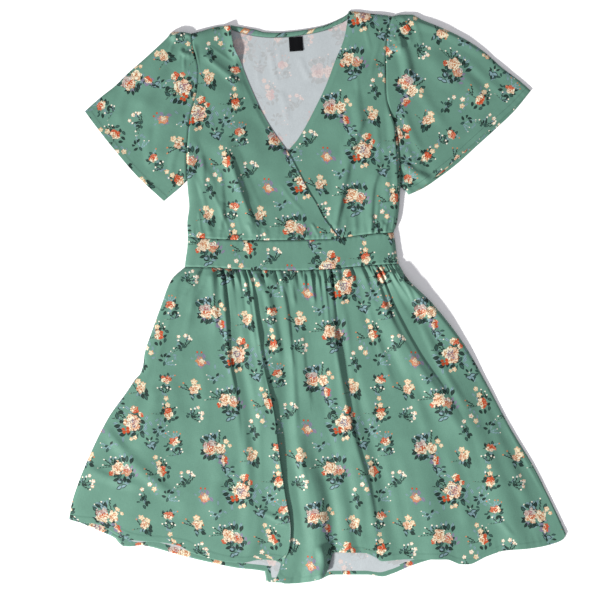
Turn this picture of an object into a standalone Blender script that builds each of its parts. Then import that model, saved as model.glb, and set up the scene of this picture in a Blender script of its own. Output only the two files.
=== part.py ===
"""A short-sleeved wrap dress laid flat: back pieces on the ground, front pieces on them.

All sizes below are in millimetres; +X is the wearer's left, +Y runs from hem to neck, +Z is up.
Each cut piece is one closed wall. Meshes are made in metres.
"""

import bmesh
import bpy
import numpy as np

MM = 0.001

# Cloth and seams
WALL = 1.2  # thickness of each cloth wall
GAP = 0.3  # clearance at seams and between layers
BACK_TOP = WALL  # the back pieces lie on the ground
FRONT_UNDER = BACK_TOP + GAP  # lowest underside of the front pieces
STEEPEST = 2.4  # most that a sloping wall is thickened upwards, as a multiple of WALL
SHORTEST = 0.5  # shortest step between points that a slope is measured over

# How far the front stands off the back
LOFT = 4.0
LOFT_RIGHT_EXTRA = 4.0  # the right side of the waist stands higher
RIGHT_EXTRA_FROM, RIGHT_EXTRA_OVER = 50.0, 60.0
SIDE_ROUND = 14.0  # width of the roll at a side seam
SHOULDER_ROUND = 12.0
NECK_EASE = 55.0  # width over which the front comes down to its free neck edge
NECK_LOFT = 0.3  # share of the loft that is left at the neck edge
OVER_LIFT = 2.0  # the over-lap lies this much higher where it covers the under-lap: wall, gap and ease
OVER_LIFT_PAST, OVER_LIFT_FADE = 18.0, 15.0  # the lift ends this far past the hidden edge, fading over this width
COVER_EASE, COVER_FADE = 2.0, 8.0  # the under-lap's folds start this far from the over-lap's edge
CHEST_EXTRA = 1.0  # the chest stands this much higher than the waist
CHEST_FADE = 60.0
UNDERARM_LEFT, UNDERARM_RIGHT = 185.6, 176.0  # height of each underarm point, +Y

# Outlines of the body: rows of (y, x), from waist to shoulder
LEFT_SIDE = [
    (47.4, -212.8), (61.6, -211.2), (77.6, -208.8), (95.8, -208.0), (116.0, -208.8), (144.8, -205.6),
    (164.0, -207.2), (185.6, -208.8), (222.2, -210.0), (253.0, -207.8), (283.5, -204.8), (304.0, -199.7),
    (328.8, -192.8), (359.2, -190.6), (385.6, -194.7), (399.8, -199.7), (421.6, -201.8),
]
RIGHT_SIDE = [
    (52.5, 130.4), (68.0, 127.2), (87.2, 124.8), (102.6, 122.4), (116.0, 127.2), (138.4, 130.4),
    (162.4, 132.0), (176.0, 133.0), (222.2, 130.9), (253.0, 128.8), (273.3, 123.7), (300.0, 114.4),
    (328.8, 109.6), (373.6, 108.5), (394.4, 109.4), (420.5, 111.8), (449.0, 119.6),
]
# Free front edges of the wrap: rows of (y, x)
OVER_EDGE = [
    (93.1, 35.2), (109.9, 21.6), (127.7, 9.0), (148.0, -1.6), (166.9, -13.0), (200.5, -30.9),
    (234.2, -48.8), (258.9, -66.7), (283.5, -82.4), (310.6, -96.0), (346.4, -111.7), (377.9, -124.0),
    (400.3, -134.1), (433.1, -140.0),
]
UNDER_EDGE = [
    (92.6, -116.0), (112.8, -108.0), (154.4, -88.8), (199.2, -66.4), (235.4, -45.4), (249.9, -33.1),
    (267.8, -21.9), (301.6, -4.0), (339.7, 14.1), (375.7, 27.5), (416.0, 43.2), (457.6, 50.4),
]
# Waist seams: rows of (x, y)
WAIST_TOP = [
    (-208.8, 95.8), (-174.7, 92.5), (-93.1, 89.9), (19.0, 91.5), (39.5, 94.1), (82.9, 99.7), (123.2, 102.6),
]
WAIST_BOTTOM = [
    (-212.8, 47.4), (-169.6, 46.1), (-108.5, 42.7), (-32.0, 41.4), (19.0, 44.0), (70.1, 48.6), (130.4, 52.5),
]
# Shoulder lines and the back neckline: rows of (x, y)
LEFT_SHOULDER = [(-202.0, 421.6), (-191.2, 424.0), (-180.0, 427.2), (-157.6, 432.8), (-140.0, 433.6)]
RIGHT_SHOULDER = [(50.4, 457.6), (69.6, 456.0), (84.0, 453.6), (112.8, 450.4), (120.0, 449.0)]
BACK_NECK_IN = [
    (-130.4, 425.0), (-113.1, 420.5), (-94.7, 417.0), (-74.4, 415.4), (-45.8, 416.3), (-23.4, 419.5),
    (4.0, 424.6), (42.0, 440.0),
]
BACK_NECK_OUT = [
    (-135.2, 434.2), (-115.2, 430.7), (-98.9, 427.8), (-84.6, 423.8), (-64.2, 423.0), (-43.7, 424.5),
    (-23.4, 427.0), (4.0, 432.2), (36.5, 445.3), (49.0, 453.6),
]
BINDING_THICK = 1.6
BINDING_END = 0.04  # share of the neckline left clear at each end
LABEL_CENTRE = (-34.4, 404.6)
LABEL_SIZE = (22.0, 23.0)
LABEL_TURN = np.radians(4.0)
LABEL_THICK = 1.0

# Skirt: x of each guide line at these shares of the way from waist to hem, and its hem height
SKIRT_SHARES = (0.0, 0.05, 0.15, 0.3, 0.45, 0.6, 0.75, 0.88, 0.95, 1.0)
SKIRT_GUIDES = {
    "left edge": ((-212, -234, -250, -272, -295, -336, -366, -387, -395, -398), -358),
    "first fold": ((-153, -148, -143, -138, -125, -119, -121, -129, -135, -140), -416),
    "deep fold": ((-110, -102, -94, -84, -72, -64, -54, -44, -44, -44), -431),
    "tube edge": ((-9, -6, -2, -6, -10, -4, 18, 25, 24, 27), -431),
    "right fold": ((22, 25, 31, 41, 54, 71, 91, 102, 107, 110), -426),
    "soft fold": ((94, 106, 126, 164, 212, 249, 273, 288, 295, 300), -410),
    "right edge": ((130, 143, 186, 236, 273, 308, 347, 375, 389, 398), -383),
}
# Hems: rows of (place across the guides, x, y)
FRONT_HEM = [
    (0.0, -398, -357), (0.06, -384, -361), (0.18, -355, -364), (0.25, -342, -368), (0.31, -328, -378),
    (0.42, -299, -390), (0.6, -241, -395), (0.71, -220, -400), (0.8, -203, -410), (1.0, -145, -425),
    (1.25, -121, -426), (1.6, -89, -421), (1.86, -59, -428), (1.93, -62, -441), (2.0, -66, -451),
    (2.12, -52, -460), (2.3, -37, -460), (2.6, -12, -456), (2.78, 7, -450), (2.88, 13, -444),
    (2.95, 19, -430), (3.0, 26, -410), (3.3, 52, -410), (3.6, 76, -411), (3.8, 93, -418),
    (3.95, 104, -424), (4.2, 145, -421), (4.5, 206, -421), (4.62, 230, -429), (4.7, 242, -429),
    (4.85, 272, -416), (5.0, 300, -407), (5.4, 344, -403), (5.75, 375, -397), (5.95, 395, -388),
    (6.0, 398, -380),
]
BACK_HEM = [
    (0.0, -397, -355), (0.25, -357, -373), (0.42, -325, -387), (0.47, -313, -400), (0.52, -302, -401),
    (0.6, -283, -399), (0.75, -220, -415), (1.0, -178, -425), (1.5, -130, -435), (1.98, -84, -441),
    (2.0, -82, -458), (2.3, -40, -459), (2.7, 0, -455), (3.0, 25, -446), (3.5, 79, -446),
    (3.8, 104, -449), (4.0, 121, -444), (4.2, 152, -431), (4.5, 186, -421), (5.0, 250, -412),
    (5.5, 320, -400), (6.0, 396, -381),
]
HEM_BLEND = 0.2  # share of the skirt's length over which the hem's own shape comes in
HEM_SHARP = 5.0

# Gathers under the waistband: (place across the guides, height, share of the length reached)
GATHERS = [
    (0.19, 2.0, 0.16), (0.5, 4.0, 0.3), (0.84, 4.5, 0.42), (1.0, 5.0, 0.7), (1.3, 3.5, 0.34),
    (1.6, 3.0, 0.22), (1.85, 4.0, 0.4), (2.0, 5.0, 0.5), (2.2, 4.5, 0.36), (2.4, 3.0, 0.24),
    (2.55, 4.0, 0.42), (2.7, 3.5, 0.3), (2.85, 4.5, 0.46), (3.0, 4.5, 0.55), (3.35, 3.5, 0.26),
    (3.7, 4.5, 0.34), (4.0, 5.0, 0.6), (4.24, 3.5, 0.26), (4.5, 4.5, 0.42), (4.72, 3.5, 0.24),
    (4.87, 4.0, 0.3), (5.0, 5.0, 0.66), (5.25, 3.0, 0.3), (5.5, 3.5, 0.24), (5.75, 2.5, 0.16),
    (6.0, 0.0, 0.1),
]
GATHER_CREST = 0.68  # where a gather is highest, between its two lines
GATHER_RISE = 0.035  # share of the length over which a gather reaches its height
GATHER_AT_SEAM = 0.15  # share of its height at the seam
GATHER_FADE = 0.75  # share of its reach over which it fades
# Large skirt folds: the line is the foot of the steep side
# (place, start, full, hold, end, gentle side, steep side, height)
SKIRT_FOLDS = [
    (1.0, 0.02, 0.1, 0.3, 0.68, 30, 9, 4.5),
    (2.0, 0.02, 0.3, 1.0, 1.5, 44, 5, 10.0),
    (3.0, 0.4, 0.85, 1.0, 1.5, 46, 13, 10.0),
    (4.0, 0.02, 0.25, 0.7, 1.05, 36, 8, 7.5),
    (5.0, 0.02, 0.15, 0.4, 0.85, 34, 18, 5.0),
    (0.45, 0.25, 0.5, 0.8, 1.2, 45, 40, 3.0),
    (1.5, 0.45, 0.75, 1.0, 1.4, 22, 18, 2.5),
    (3.55, 0.6, 0.85, 1.0, 1.4, 18, 16, 3.0),
    (4.6, 0.5, 0.8, 1.0, 1.4, 34, 34, 3.5),
    (5.5, 0.3, 0.6, 0.85, 1.2, 34, 28, 3.5),
]
SKIRT_LOFT = [(0.0, 4.0), (0.12, 4.5), (0.5, 4.5), (0.85, 3.0), (1.0, 1.2)]  # (share of the length, stand-off)
WAIST_FADE = 0.15  # share of the length over which the skirt leaves the waist's own stand-off
FOLD_CLEAR = 28.0  # folds come up over this width inside a side seam
SKIRT_ROWS = (0, 0.02, 0.05, 0.09, 0.14, 0.2, 0.27, 0.35, 0.43, 0.52, 0.61, 0.7, 0.78, 0.85, 0.9, 0.94, 0.97, 1)
BACK_SKIRT_ROWS = (0, 0.02, 0.05, 0.09, 0.16, 0.3, 0.45, 0.6, 0.75, 0.86, 0.93, 0.97, 1)

# Folds of the bodice and sleeves: a crest through three points, top to bottom,
# (x, y) three times, then width to its -X side, width to its +X side, and height
OVER_FOLDS = [
    (-159, 270, -137, 222, -98, 106, 34, 7, 6.0),
    (-186, 214, -168, 180, -152, 128, 20, 14, 3.0),
    (-184, 386, -152, 362, -120, 330, 8, 14, 3.5),
    (-112, 118, -107, 108, -103, 97, 5, 4, 2.5),
    (-96, 120, -94, 108, -94, 97, 5, 4, 2.5),
    (-10, 118, -4, 108, 0, 98, 4, 4, 2.0),
    (-134, 426, -132, 400, -124, 378, 12, 3, 3.5),
    (-180, 130, -176, 116, -172, 100, 9, 7, 2.5),
]
UNDER_FOLDS = [
    (70, 286, 84, 200, 87, 106, 22, 7, 4.5),
    (44, 158, 37, 128, 30, 112, 9, 5, 3.0),
    (60, 330, 66, 290, 72, 262, 14, 12, 3.0),
    (104, 122, 103, 113, 101, 106, 6, 4, 2.0),
    (112, 250, 112, 200, 110, 150, 12, 10, 3.0),
    (58, 150, 60, 125, 62, 104, 7, 5, 2.5),
]
LEFT_SLEEVE_FOLDS = [
    (-220, 394, -212, 387, -203, 386, 5, 7, 3.0),
    (-236, 404, -262, 356, -290, 300, 26, 26, 2.5),
    (-214, 300, -246, 262, -262, 220, 20, 22, 2.5),
]
RIGHT_SLEEVE_FOLDS = [
    (113, 400, 122, 397, 136, 398, 7, 5, 3.0),
    (132, 420, 150, 392, 158, 360, 16, 14, 3.0),
    (134, 214, 158, 198, 184, 184, 14, 9, 4.0),
    (170, 400, 214, 350, 262, 318, 26, 26, 2.5),
]
FOLD_SAMPLES = 16
FOLD_IN, FOLD_OUT, FOLD_END = 0.25, 0.3, 1.12  # shares of a fold's length over which it rises, fades and has gone

# Sleeves: shoulder fold, then underarm fold, each from armhole to hem, as (x, y)
LEFT_SLEEVE_TOP = [
    (-202.5, 421.4), (-218, 424), (-232, 424), (-242, 414), (-263, 394), (-284, 375), (-306, 356),
    (-325, 337), (-349, 318), (-373, 297),
]
LEFT_SLEEVE_UNDER = [(-209.1, 185.6), (-221, 174), (-233, 164), (-246, 153)]
RIGHT_SLEEVE_TOP = [
    (120.2, 449.1), (134, 452), (150, 452), (169, 443), (194, 433), (234, 414), (265, 394), (297, 366),
    (325, 345), (342, 330),
]
RIGHT_SLEEVE_UNDER = [(133.5, 176.0), (138, 172), (142, 168), (146, 163)]
# Sleeve hems, from shoulder fold to underarm fold
LEFT_SLEEVE_HEM = [(-373, 297), (-353, 270), (-322, 231), (-289, 193), (-268, 173), (-246, 153)]
RIGHT_SLEEVE_HEM = [(342, 330), (316, 298), (287, 270), (255, 241), (223, 212), (198, 193), (170, 174), (146, 163)]
SLEEVE_LOFT = 5.0
SLEEVE_HEM_LOFT = 0.55  # share of the loft that is left at the hem
SLEEVE_EDGE = 1.5  # height of the middle of a sleeve's folded edge
SLEEVE_STEEPEST = 0.8  # steepest slope that thickens a sleeve's wall upwards
SLEEVE_STATION_CLEAR = 4.0  # rows of the bodice nearer than this to a sleeve's edge are left out
SLEEVE_EDGE_STEP = 0.016  # share of the width next to a folded edge, where the fold is turned

BODICE_COLUMNS = 18
BODICE_ROWS = 20
BACK_COLUMNS = 26
BAND_COLUMNS = 22
BAND_ROWS = 3
BINDING_COLUMNS = 20
SLEEVE_ROWS = 8

COLOURS = {  # base colour, roughness
    "printed_cloth": ((0.18, 0.39, 0.28, 1.0), 0.75),
    "label_cloth": ((0.012, 0.012, 0.015, 1.0), 0.6),
}


# ---- curves -------------------------------------------------------------------------------


def through(rows, at):
    """Value at each key, on a smooth curve through (key, value) rows that never overshoots."""
    keys, values = np.array(sorted(rows), float).T
    steps = np.diff(keys)
    rises = np.diff(values) / steps
    slopes = np.zeros_like(values)
    slopes[0], slopes[-1] = rises[0], rises[-1]
    before, after = rises[:-1], rises[1:]
    same_way = before * after > 0
    safe = np.where(same_way, before + after, 1.0)
    slopes[1:-1] = np.where(same_way, 2 * before * after / safe, 0.0)
    at = np.clip(np.asarray(at, float), keys[0], keys[-1])
    k = np.clip(np.searchsorted(keys, at) - 1, 0, len(steps) - 1)
    u = (at - keys[k]) / steps[k]
    start, end = values[k], values[k + 1]
    bend_in, bend_out = slopes[k] * steps[k], slopes[k + 1] * steps[k]
    rest = 1 - u
    return rest * rest * (1 + 2 * u) * start + u * u * (3 - 2 * u) * end + u * rest * (rest * bend_in - u * bend_out)


def along(points, shares):
    """Points at shares of the length of a smooth curve through (x, y) points."""
    points = np.array(points, float)
    lengths = np.concatenate([[0], np.cumsum(np.hypot(*np.diff(points, axis=0).T))])
    lengths /= lengths[-1]
    x = through(list(zip(lengths, points[:, 0])), shares)
    y = through(list(zip(lengths, points[:, 1])), shares)
    return np.stack([x, y], axis=-1)


def eased(value):
    """0 to 1 with a soft start and end."""
    value = np.clip(value, 0.0, 1.0)
    return value * value * (3 - 2 * value)


def rounded(distance, width):
    """Quarter-circle rise from 0 at an edge to 1 at this width inside it."""
    rest = 1 - np.clip(distance / width, 0.0, 1.0)
    return np.sqrt(1 - rest * rest)


def distance_to(x, y, line):
    """Distance from each place to a line of (x, y) points."""
    starts, runs = line[:-1], np.diff(line, axis=0)
    off_x = x[..., None] - starts[:, 0]
    off_y = y[..., None] - starts[:, 1]
    share = (off_x * runs[:, 0] + off_y * runs[:, 1]) / (runs**2).sum(axis=1)
    share = np.clip(share, 0, 1)
    return np.hypot(off_x - share * runs[:, 0], off_y - share * runs[:, 1]).min(axis=-1)


def side_line(rows, low, high, count=24):
    """Points of a (y, x) outline between two heights."""
    y = np.linspace(low, high, count)
    return np.stack([through(rows, y), y], axis=-1)


def level_line(rows, count=16):
    """Points of an (x, y) outline over its whole length."""
    x = np.linspace(rows[0][0], rows[-1][0], count)
    return np.stack([x, through(rows, x)], axis=-1)


# ---- heights ------------------------------------------------------------------------------


def crossing_height():
    """Height at which the two front edges cross."""
    y = np.linspace(OVER_EDGE[0][0], OVER_EDGE[-1][0], 400)
    over, under = through(OVER_EDGE, y), through(UNDER_EDGE, y)
    return y[np.argmax(over < under)]


CROSSING = crossing_height()
NECK_LINE = np.concatenate([
    side_line(OVER_EDGE, CROSSING, OVER_EDGE[-1][0])[::-1],
    side_line(UNDER_EDGE, CROSSING, UNDER_EDGE[-1][0]),
])


def waist_loft(x):
    """Stand-off of the front at the waist, higher at the right side."""
    return LOFT + LOFT_RIGHT_EXTRA * eased((x - RIGHT_EXTRA_FROM) / RIGHT_EXTRA_OVER)


def bodice_under(x, y):
    """Height of the underside of a front bodice piece that has no folds of its own."""
    left = distance_to(x, y, side_line(LEFT_SIDE, LEFT_SIDE[0][0], UNDERARM_LEFT))
    right = distance_to(x, y, side_line(RIGHT_SIDE, RIGHT_SIDE[0][0], UNDERARM_RIGHT))
    shoulder = np.minimum(
        distance_to(x, y, level_line(LEFT_SHOULDER)), distance_to(x, y, level_line(RIGHT_SHOULDER))
    )
    neck = NECK_LOFT + (1 - NECK_LOFT) * eased(distance_to(x, y, NECK_LINE) / NECK_EASE)
    sides = rounded(left, SIDE_ROUND) * rounded(right, SIDE_ROUND)
    high = eased((y - UNDERARM_LEFT) / CHEST_FADE)
    loft = waist_loft(x) * (1 - high) + (LOFT + CHEST_EXTRA) * high
    return FRONT_UNDER + loft * sides * rounded(shoulder, SHOULDER_ROUND) * neck


def fold_heights(x, y, folds):
    """Sum of the ridges of a fold table."""
    total = np.zeros_like(x)
    for x0, y0, x1, y1, x2, y2, minus, plus, height in folds:
        line = along([(x0, y0), (x1, y1), (x2, y2)], np.linspace(0, 1, FOLD_SAMPLES))
        starts, runs = line[:-1], np.diff(line, axis=0)
        off_x, off_y = x[..., None] - starts[:, 0], y[..., None] - starts[:, 1]
        share = np.clip((off_x * runs[:, 0] + off_y * runs[:, 1]) / (runs**2).sum(axis=1), 0, 1)
        gap_x, gap_y = off_x - share * runs[:, 0], off_y - share * runs[:, 1]
        reach = np.hypot(gap_x, gap_y)
        near = reach.argmin(axis=-1)[..., None]

        def pick(values):
            return np.take_along_axis(values, near, axis=-1)[..., 0]

        side = np.sign(pick(runs[:, 0] * off_y - runs[:, 1] * off_x))
        place = (near[..., 0] + pick(share)) / len(runs)
        width = np.where(side < 0, minus, plus)
        across = 0.5 + 0.5 * np.cos(np.pi * np.clip(pick(reach) / width, 0, 1))
        total += height * across * eased(place / FOLD_IN) ** 0.5 * eased((FOLD_END - place) / FOLD_OUT)
    return total


def over_lift(x, y):
    """Extra height of the over-lap where it lies on the under-lap, fading past the hidden edge."""
    inside = x - through(UNDER_EDGE, y)
    return OVER_LIFT * eased((inside + OVER_LIFT_PAST) / OVER_LIFT_FADE)


def covered(x, y):
    """0 where the over-lap lies on the under-lap, 1 clear of it: hidden cloth has no folds."""
    return eased((x - through(OVER_EDGE, y) - COVER_EASE) / COVER_FADE)


# ---- skirt --------------------------------------------------------------------------------


def skirt_places(hem, across, shares):
    """x and y of skirt points, as shares of the length by places across the guides."""
    guides = list(SKIRT_GUIDES.values())
    lines = [through(list(zip(SKIRT_SHARES, row)), shares) for row, _ in guides]
    x = np.array([through(list(enumerate(column)), across) for column in np.array(lines).T])
    top_x = x[0]
    low_y = through([(k, low) for k, (_, low) in enumerate(guides)], across)
    top_y = through(WAIST_BOTTOM, top_x)
    share = np.asarray(shares, float)[:, None]
    y = top_y + (low_y - top_y) * share
    hem_x = through([(place, px) for place, px, _ in hem], across)
    hem_y = through([(place, py) for place, _, py in hem], across)
    bend = np.clip((share - (1 - HEM_BLEND)) / HEM_BLEND, 0, 1) ** HEM_SHARP
    ease = np.clip((share - (1 - HEM_BLEND)) / HEM_BLEND, 0, 1) ** 2
    return x + (hem_x - x[-1]) * bend, y + (hem_y - low_y) * ease


def gather_heights(across, shares):
    """Height of the small gathers, each highest just before its own line."""
    lines = [0.0] + [place for place, _, _ in GATHERS]
    share = np.asarray(shares, float)[:, None]
    total = np.zeros((len(share), len(across)))
    for start, (end, height, reach) in zip(lines, GATHERS):
        part = (across - start) / (end - start)
        up = 0.5 - 0.5 * np.cos(np.pi * np.clip(part / GATHER_CREST, 0, 1))
        down = 0.5 + 0.5 * np.cos(np.pi * np.clip((part - GATHER_CREST) / (1 - GATHER_CREST), 0, 1))
        wave = np.where((part >= 0) & (part <= 1), up * down, 0.0)
        grown = GATHER_AT_SEAM + (1 - GATHER_AT_SEAM) * eased(share / GATHER_RISE)
        total += height * wave * grown * eased((reach - share) / (GATHER_FADE * reach))
    return total


def skirt_fold_heights(across, shares, x):
    """Height of the large folds, measured across from the foot of each steep side."""
    share = np.asarray(shares, float)[:, None]
    total = np.zeros_like(x)
    for place, start, full, hold, end, gentle, steep, height in SKIRT_FOLDS:
        foot = np.array([np.interp(place, across, row) for row in x])[:, None]
        off = x - foot + steep
        wide = np.where(off < 0, gentle, steep)
        ridge = 0.5 + 0.5 * np.cos(np.pi * np.clip(np.abs(off) / wide, 0, 1))
        grown = eased((share - start) / (full - start)) * eased((end - share) / (end - hold))
        total += height * ridge * grown
    return total


def skirt_under(across, shares, x):
    """Height of the underside of the skirt's front."""
    share = np.asarray(shares, float)[:, None]
    loft = through(SKIRT_LOFT, share)
    at_waist = eased(1 - share / WAIST_FADE)
    loft = loft * (1 - at_waist) + waist_loft(x) * at_waist
    edges = rounded(x - x[:, :1], SIDE_ROUND) * rounded(x[:, -1:] - x, SIDE_ROUND)
    folds = gather_heights(across, shares) + skirt_fold_heights(across, shares, x)
    clear = rounded(x - x[:, :1], FOLD_CLEAR) * rounded(x[:, -1:] - x, FOLD_CLEAR)
    return FRONT_UNDER + loft * edges + folds * clear


# ---- solids -------------------------------------------------------------------------------


def material(name):
    """One Principled material, made once."""
    if name in bpy.data.materials:
        return bpy.data.materials[name]
    made = bpy.data.materials.new(name)
    made.use_nodes = True
    shader = made.node_tree.nodes["Principled BSDF"]
    colour, roughness = COLOURS[name]
    shader.inputs["Base Color"].default_value = colour
    shader.inputs["Roughness"].default_value = roughness
    shader.inputs["Metallic"].default_value = 0.0
    return made


def add_solid(name, points, faces, slot):
    """Makes the object from points in millimetres, with its faces turned outwards."""
    mesh = bpy.data.meshes.new(name)
    mesh.from_pydata((np.asarray(points) * MM).tolist(), [], faces)
    work = bmesh.new()
    work.from_mesh(mesh)
    bmesh.ops.recalc_face_normals(work, faces=work.faces)
    work.to_mesh(mesh)
    work.free()
    mesh.materials.append(material(slot))
    mesh.shade_smooth()
    bpy.context.scene.collection.objects.link(bpy.data.objects.new(name, mesh))


def split(a, b, c, d):
    """A four-sided face as two triangles, always along the same diagonal."""
    return [(a, b, c), (a, c, d)]


def sheet(name, top, bottom, slot="printed_cloth"):
    """Closed wall between two grids of points, each rows by columns by 3."""
    rows, columns = top.shape[:2]
    count = rows * columns
    index = np.arange(count).reshape(rows, columns)
    faces = []
    for r in range(rows - 1):
        for c in range(columns - 1):
            a, b, d, e = index[r, c], index[r, c + 1], index[r + 1, c + 1], index[r + 1, c]
            faces += split(a, b, d, e)
            faces += [tuple(count + k for k in face[::-1]) for face in split(a, b, d, e)]
    rim = [*index[0, :], *index[1:, -1], *index[-1, -2::-1], *index[-2:0:-1, 0]]
    for here, after in zip(rim, rim[1:] + rim[:1]):
        faces += split(after, here, count + here, count + after)
    points = np.concatenate([top.reshape(-1, 3), bottom.reshape(-1, 3)])
    add_solid(name, points, [tuple(int(k) for k in face) for face in faces], slot)


def raised(x, y, under):
    """Top and bottom grids of a wall whose underside has these heights."""
    places = np.stack([x, y])
    across = np.gradient(under, axis=1) / np.maximum(np.hypot(*np.gradient(places, axis=2)), SHORTEST)
    down = np.gradient(under, axis=0) / np.maximum(np.hypot(*np.gradient(places, axis=1)), SHORTEST)
    thick = WALL * np.minimum(np.sqrt(1 + across**2 + down**2), STEEPEST)
    return np.stack([x, y, under + thick], axis=-1), np.stack([x, y, under], axis=-1)


def flat(x, y, top=BACK_TOP, bottom=0.0):
    """Top and bottom grids of a flat wall."""
    return np.stack([x, y, np.full_like(x, top)], axis=-1), np.stack([x, y, np.full_like(x, bottom)], axis=-1)


def patch(left, right, upper, lower, rows, columns, inset=(GAP / 2,) * 4):
    """x and y between two (y, x) sides and two (x, y) ends, drawn in by the left, right, upper, lower insets."""
    in_left, in_right, in_upper, in_lower = inset
    t = np.linspace(0, 1, rows + 1)[:, None]
    u = np.linspace(0, 1, columns + 1)[None, :]

    def corner(side, end, step):
        y = step
        for _ in range(30):
            x = through(side, y)
            y = through(end, x)
        return float(y)

    left_y = corner(left, upper, left[-1][0]) * (1 - t) + corner(left, lower, left[0][0]) * t
    right_y = corner(right, upper, right[-1][0]) * (1 - t) + corner(right, lower, right[0][0]) * t
    left_x = through(left, left_y) + in_left
    right_x = through(right, right_y) - in_right
    x = left_x * (1 - u) + right_x * u
    y = left_y * (1 - u) + right_y * u
    top = through(upper, x[0]) - in_upper
    bottom = through(lower, x[-1]) + in_lower
    return x, y + (top - y[0]) * (1 - t) + (bottom - y[-1]) * t


# ---- pieces -------------------------------------------------------------------------------


def add_back_bodice():
    neckline = LEFT_SHOULDER + BACK_NECK_IN + RIGHT_SHOULDER
    x, y = patch(LEFT_SIDE, RIGHT_SIDE, neckline, WAIST_TOP, BODICE_ROWS, BACK_COLUMNS, (0.15, 0.15, 0.3, 0.15))
    sheet("back_bodice", *flat(x, y))


def add_neck_binding():
    share = np.linspace(BINDING_END, 1 - BINDING_END, BINDING_COLUMNS + 1)
    outer, inner = along(BACK_NECK_OUT, share), along(BACK_NECK_IN, share)
    inner[:, 1] += GAP
    x, y = np.stack([outer[:, 0], inner[:, 0]]), np.stack([outer[:, 1], inner[:, 1]])
    sheet("back_neck_binding", *flat(x, y, BINDING_THICK))


def add_neck_label():
    half_w, half_l = LABEL_SIZE[0] / 2, LABEL_SIZE[1] / 2
    u, v = np.meshgrid([-half_w, half_w], [half_l, -half_l])
    x = LABEL_CENTRE[0] + u * np.cos(LABEL_TURN) - v * np.sin(LABEL_TURN)
    y = LABEL_CENTRE[1] + u * np.sin(LABEL_TURN) + v * np.cos(LABEL_TURN)
    sheet("neck_label", *flat(x, y, BACK_TOP + GAP + LABEL_THICK, BACK_TOP + GAP), slot="label_cloth")


def add_over_front():
    x, y = patch(LEFT_SIDE, OVER_EDGE, LEFT_SHOULDER, WAIST_TOP, BODICE_ROWS, BODICE_COLUMNS)
    under = bodice_under(x, y) + over_lift(x, y) + fold_heights(x, y, OVER_FOLDS)
    sheet("front_bodice_over", *raised(x, y, under))


def add_under_front():
    x, y = patch(UNDER_EDGE, RIGHT_SIDE, RIGHT_SHOULDER, WAIST_TOP, BODICE_ROWS, BODICE_COLUMNS)
    under = bodice_under(x, y) + fold_heights(x, y, UNDER_FOLDS) * covered(x, y)
    sheet("front_bodice_under", *raised(x, y, under))


def add_waistbands():
    x, y = patch(LEFT_SIDE, RIGHT_SIDE, WAIST_TOP, WAIST_BOTTOM, BAND_ROWS, BAND_COLUMNS)
    edges = rounded(x - x[:, :1], SIDE_ROUND) * rounded(x[:, -1:] - x, SIDE_ROUND)
    sheet("waistband_front", *raised(x, y, FRONT_UNDER + waist_loft(x) * edges))
    sheet("waistband_back", *flat(x, y))


def gather_columns():
    """Places across the skirt that catch the foot and crest of every gather."""
    lines = [0.0] + [place for place, _, _ in GATHERS]
    parts = (0, GATHER_CREST / 2, GATHER_CREST)
    places = [start + (end - start) * part for start, end in zip(lines, lines[1:]) for part in parts]
    return np.array(places + [lines[-1]])


def add_skirts():
    shares = np.array(SKIRT_ROWS, float)
    across = gather_columns()
    x, y = skirt_places(FRONT_HEM, across, shares)
    under = skirt_under(across, shares, x)
    y[0] -= GAP / 2
    sheet("skirt_front", *raised(x, y, under))
    places = np.array(sorted({*np.arange(0, 6.01, 0.25), *[row[0] for row in BACK_HEM]}))
    x, y = skirt_places(BACK_HEM, places, np.array(BACK_SKIRT_ROWS))
    y[0] -= GAP / 2
    sheet("skirt_back", *flat(x, y))


def sleeve_places(armhole, top, under, hem_line, sign):
    """x and y over a sleeve: rows from armhole to hem, columns from shoulder fold to underarm fold."""
    high, low = top[0][1], under[0][1]
    seam_y = np.linspace(high, through([(x, y) for x, y in WAIST_TOP], armhole[3][1]), BODICE_ROWS + 1)
    seam_x = through(armhole, seam_y)
    stations = seam_y[(seam_y < high - SLEEVE_STATION_CLEAR) & (seam_y > low + SLEEVE_STATION_CLEAR)]
    s = (high - np.array([high, *stations, low])) / (high - low)
    s = np.array([0, SLEEVE_EDGE_STEP, *s[1:-1], 1 - SLEEVE_EDGE_STEP, 1])
    v = np.linspace(0, 1, SLEEVE_ROWS + 1)[:, None]
    hole_y = high + (low - high) * s
    hole_x = np.interp(hole_y, seam_y[::-1], seam_x[::-1])
    hole = np.stack([hole_x + sign * GAP / 2, hole_y], axis=-1)
    first, last = along(top, v[:, 0]), along(under, v[:, 0])
    first[0], last[0] = hole[0], hole[-1]
    hem = along(hem_line, s)
    row, column = s[None, :, None], v[:, :, None]
    sides = first[:, None] * (1 - row) + last[:, None] * row
    ends = hole[None] * (1 - column) + hem[None] * column
    corners = (hole[0] * (1 - row) + hole[-1] * row) * (1 - column) + (hem[0] * (1 - row) + hem[-1] * row) * column
    grid = sides + ends - corners
    return grid[..., 0], grid[..., 1], v


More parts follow.
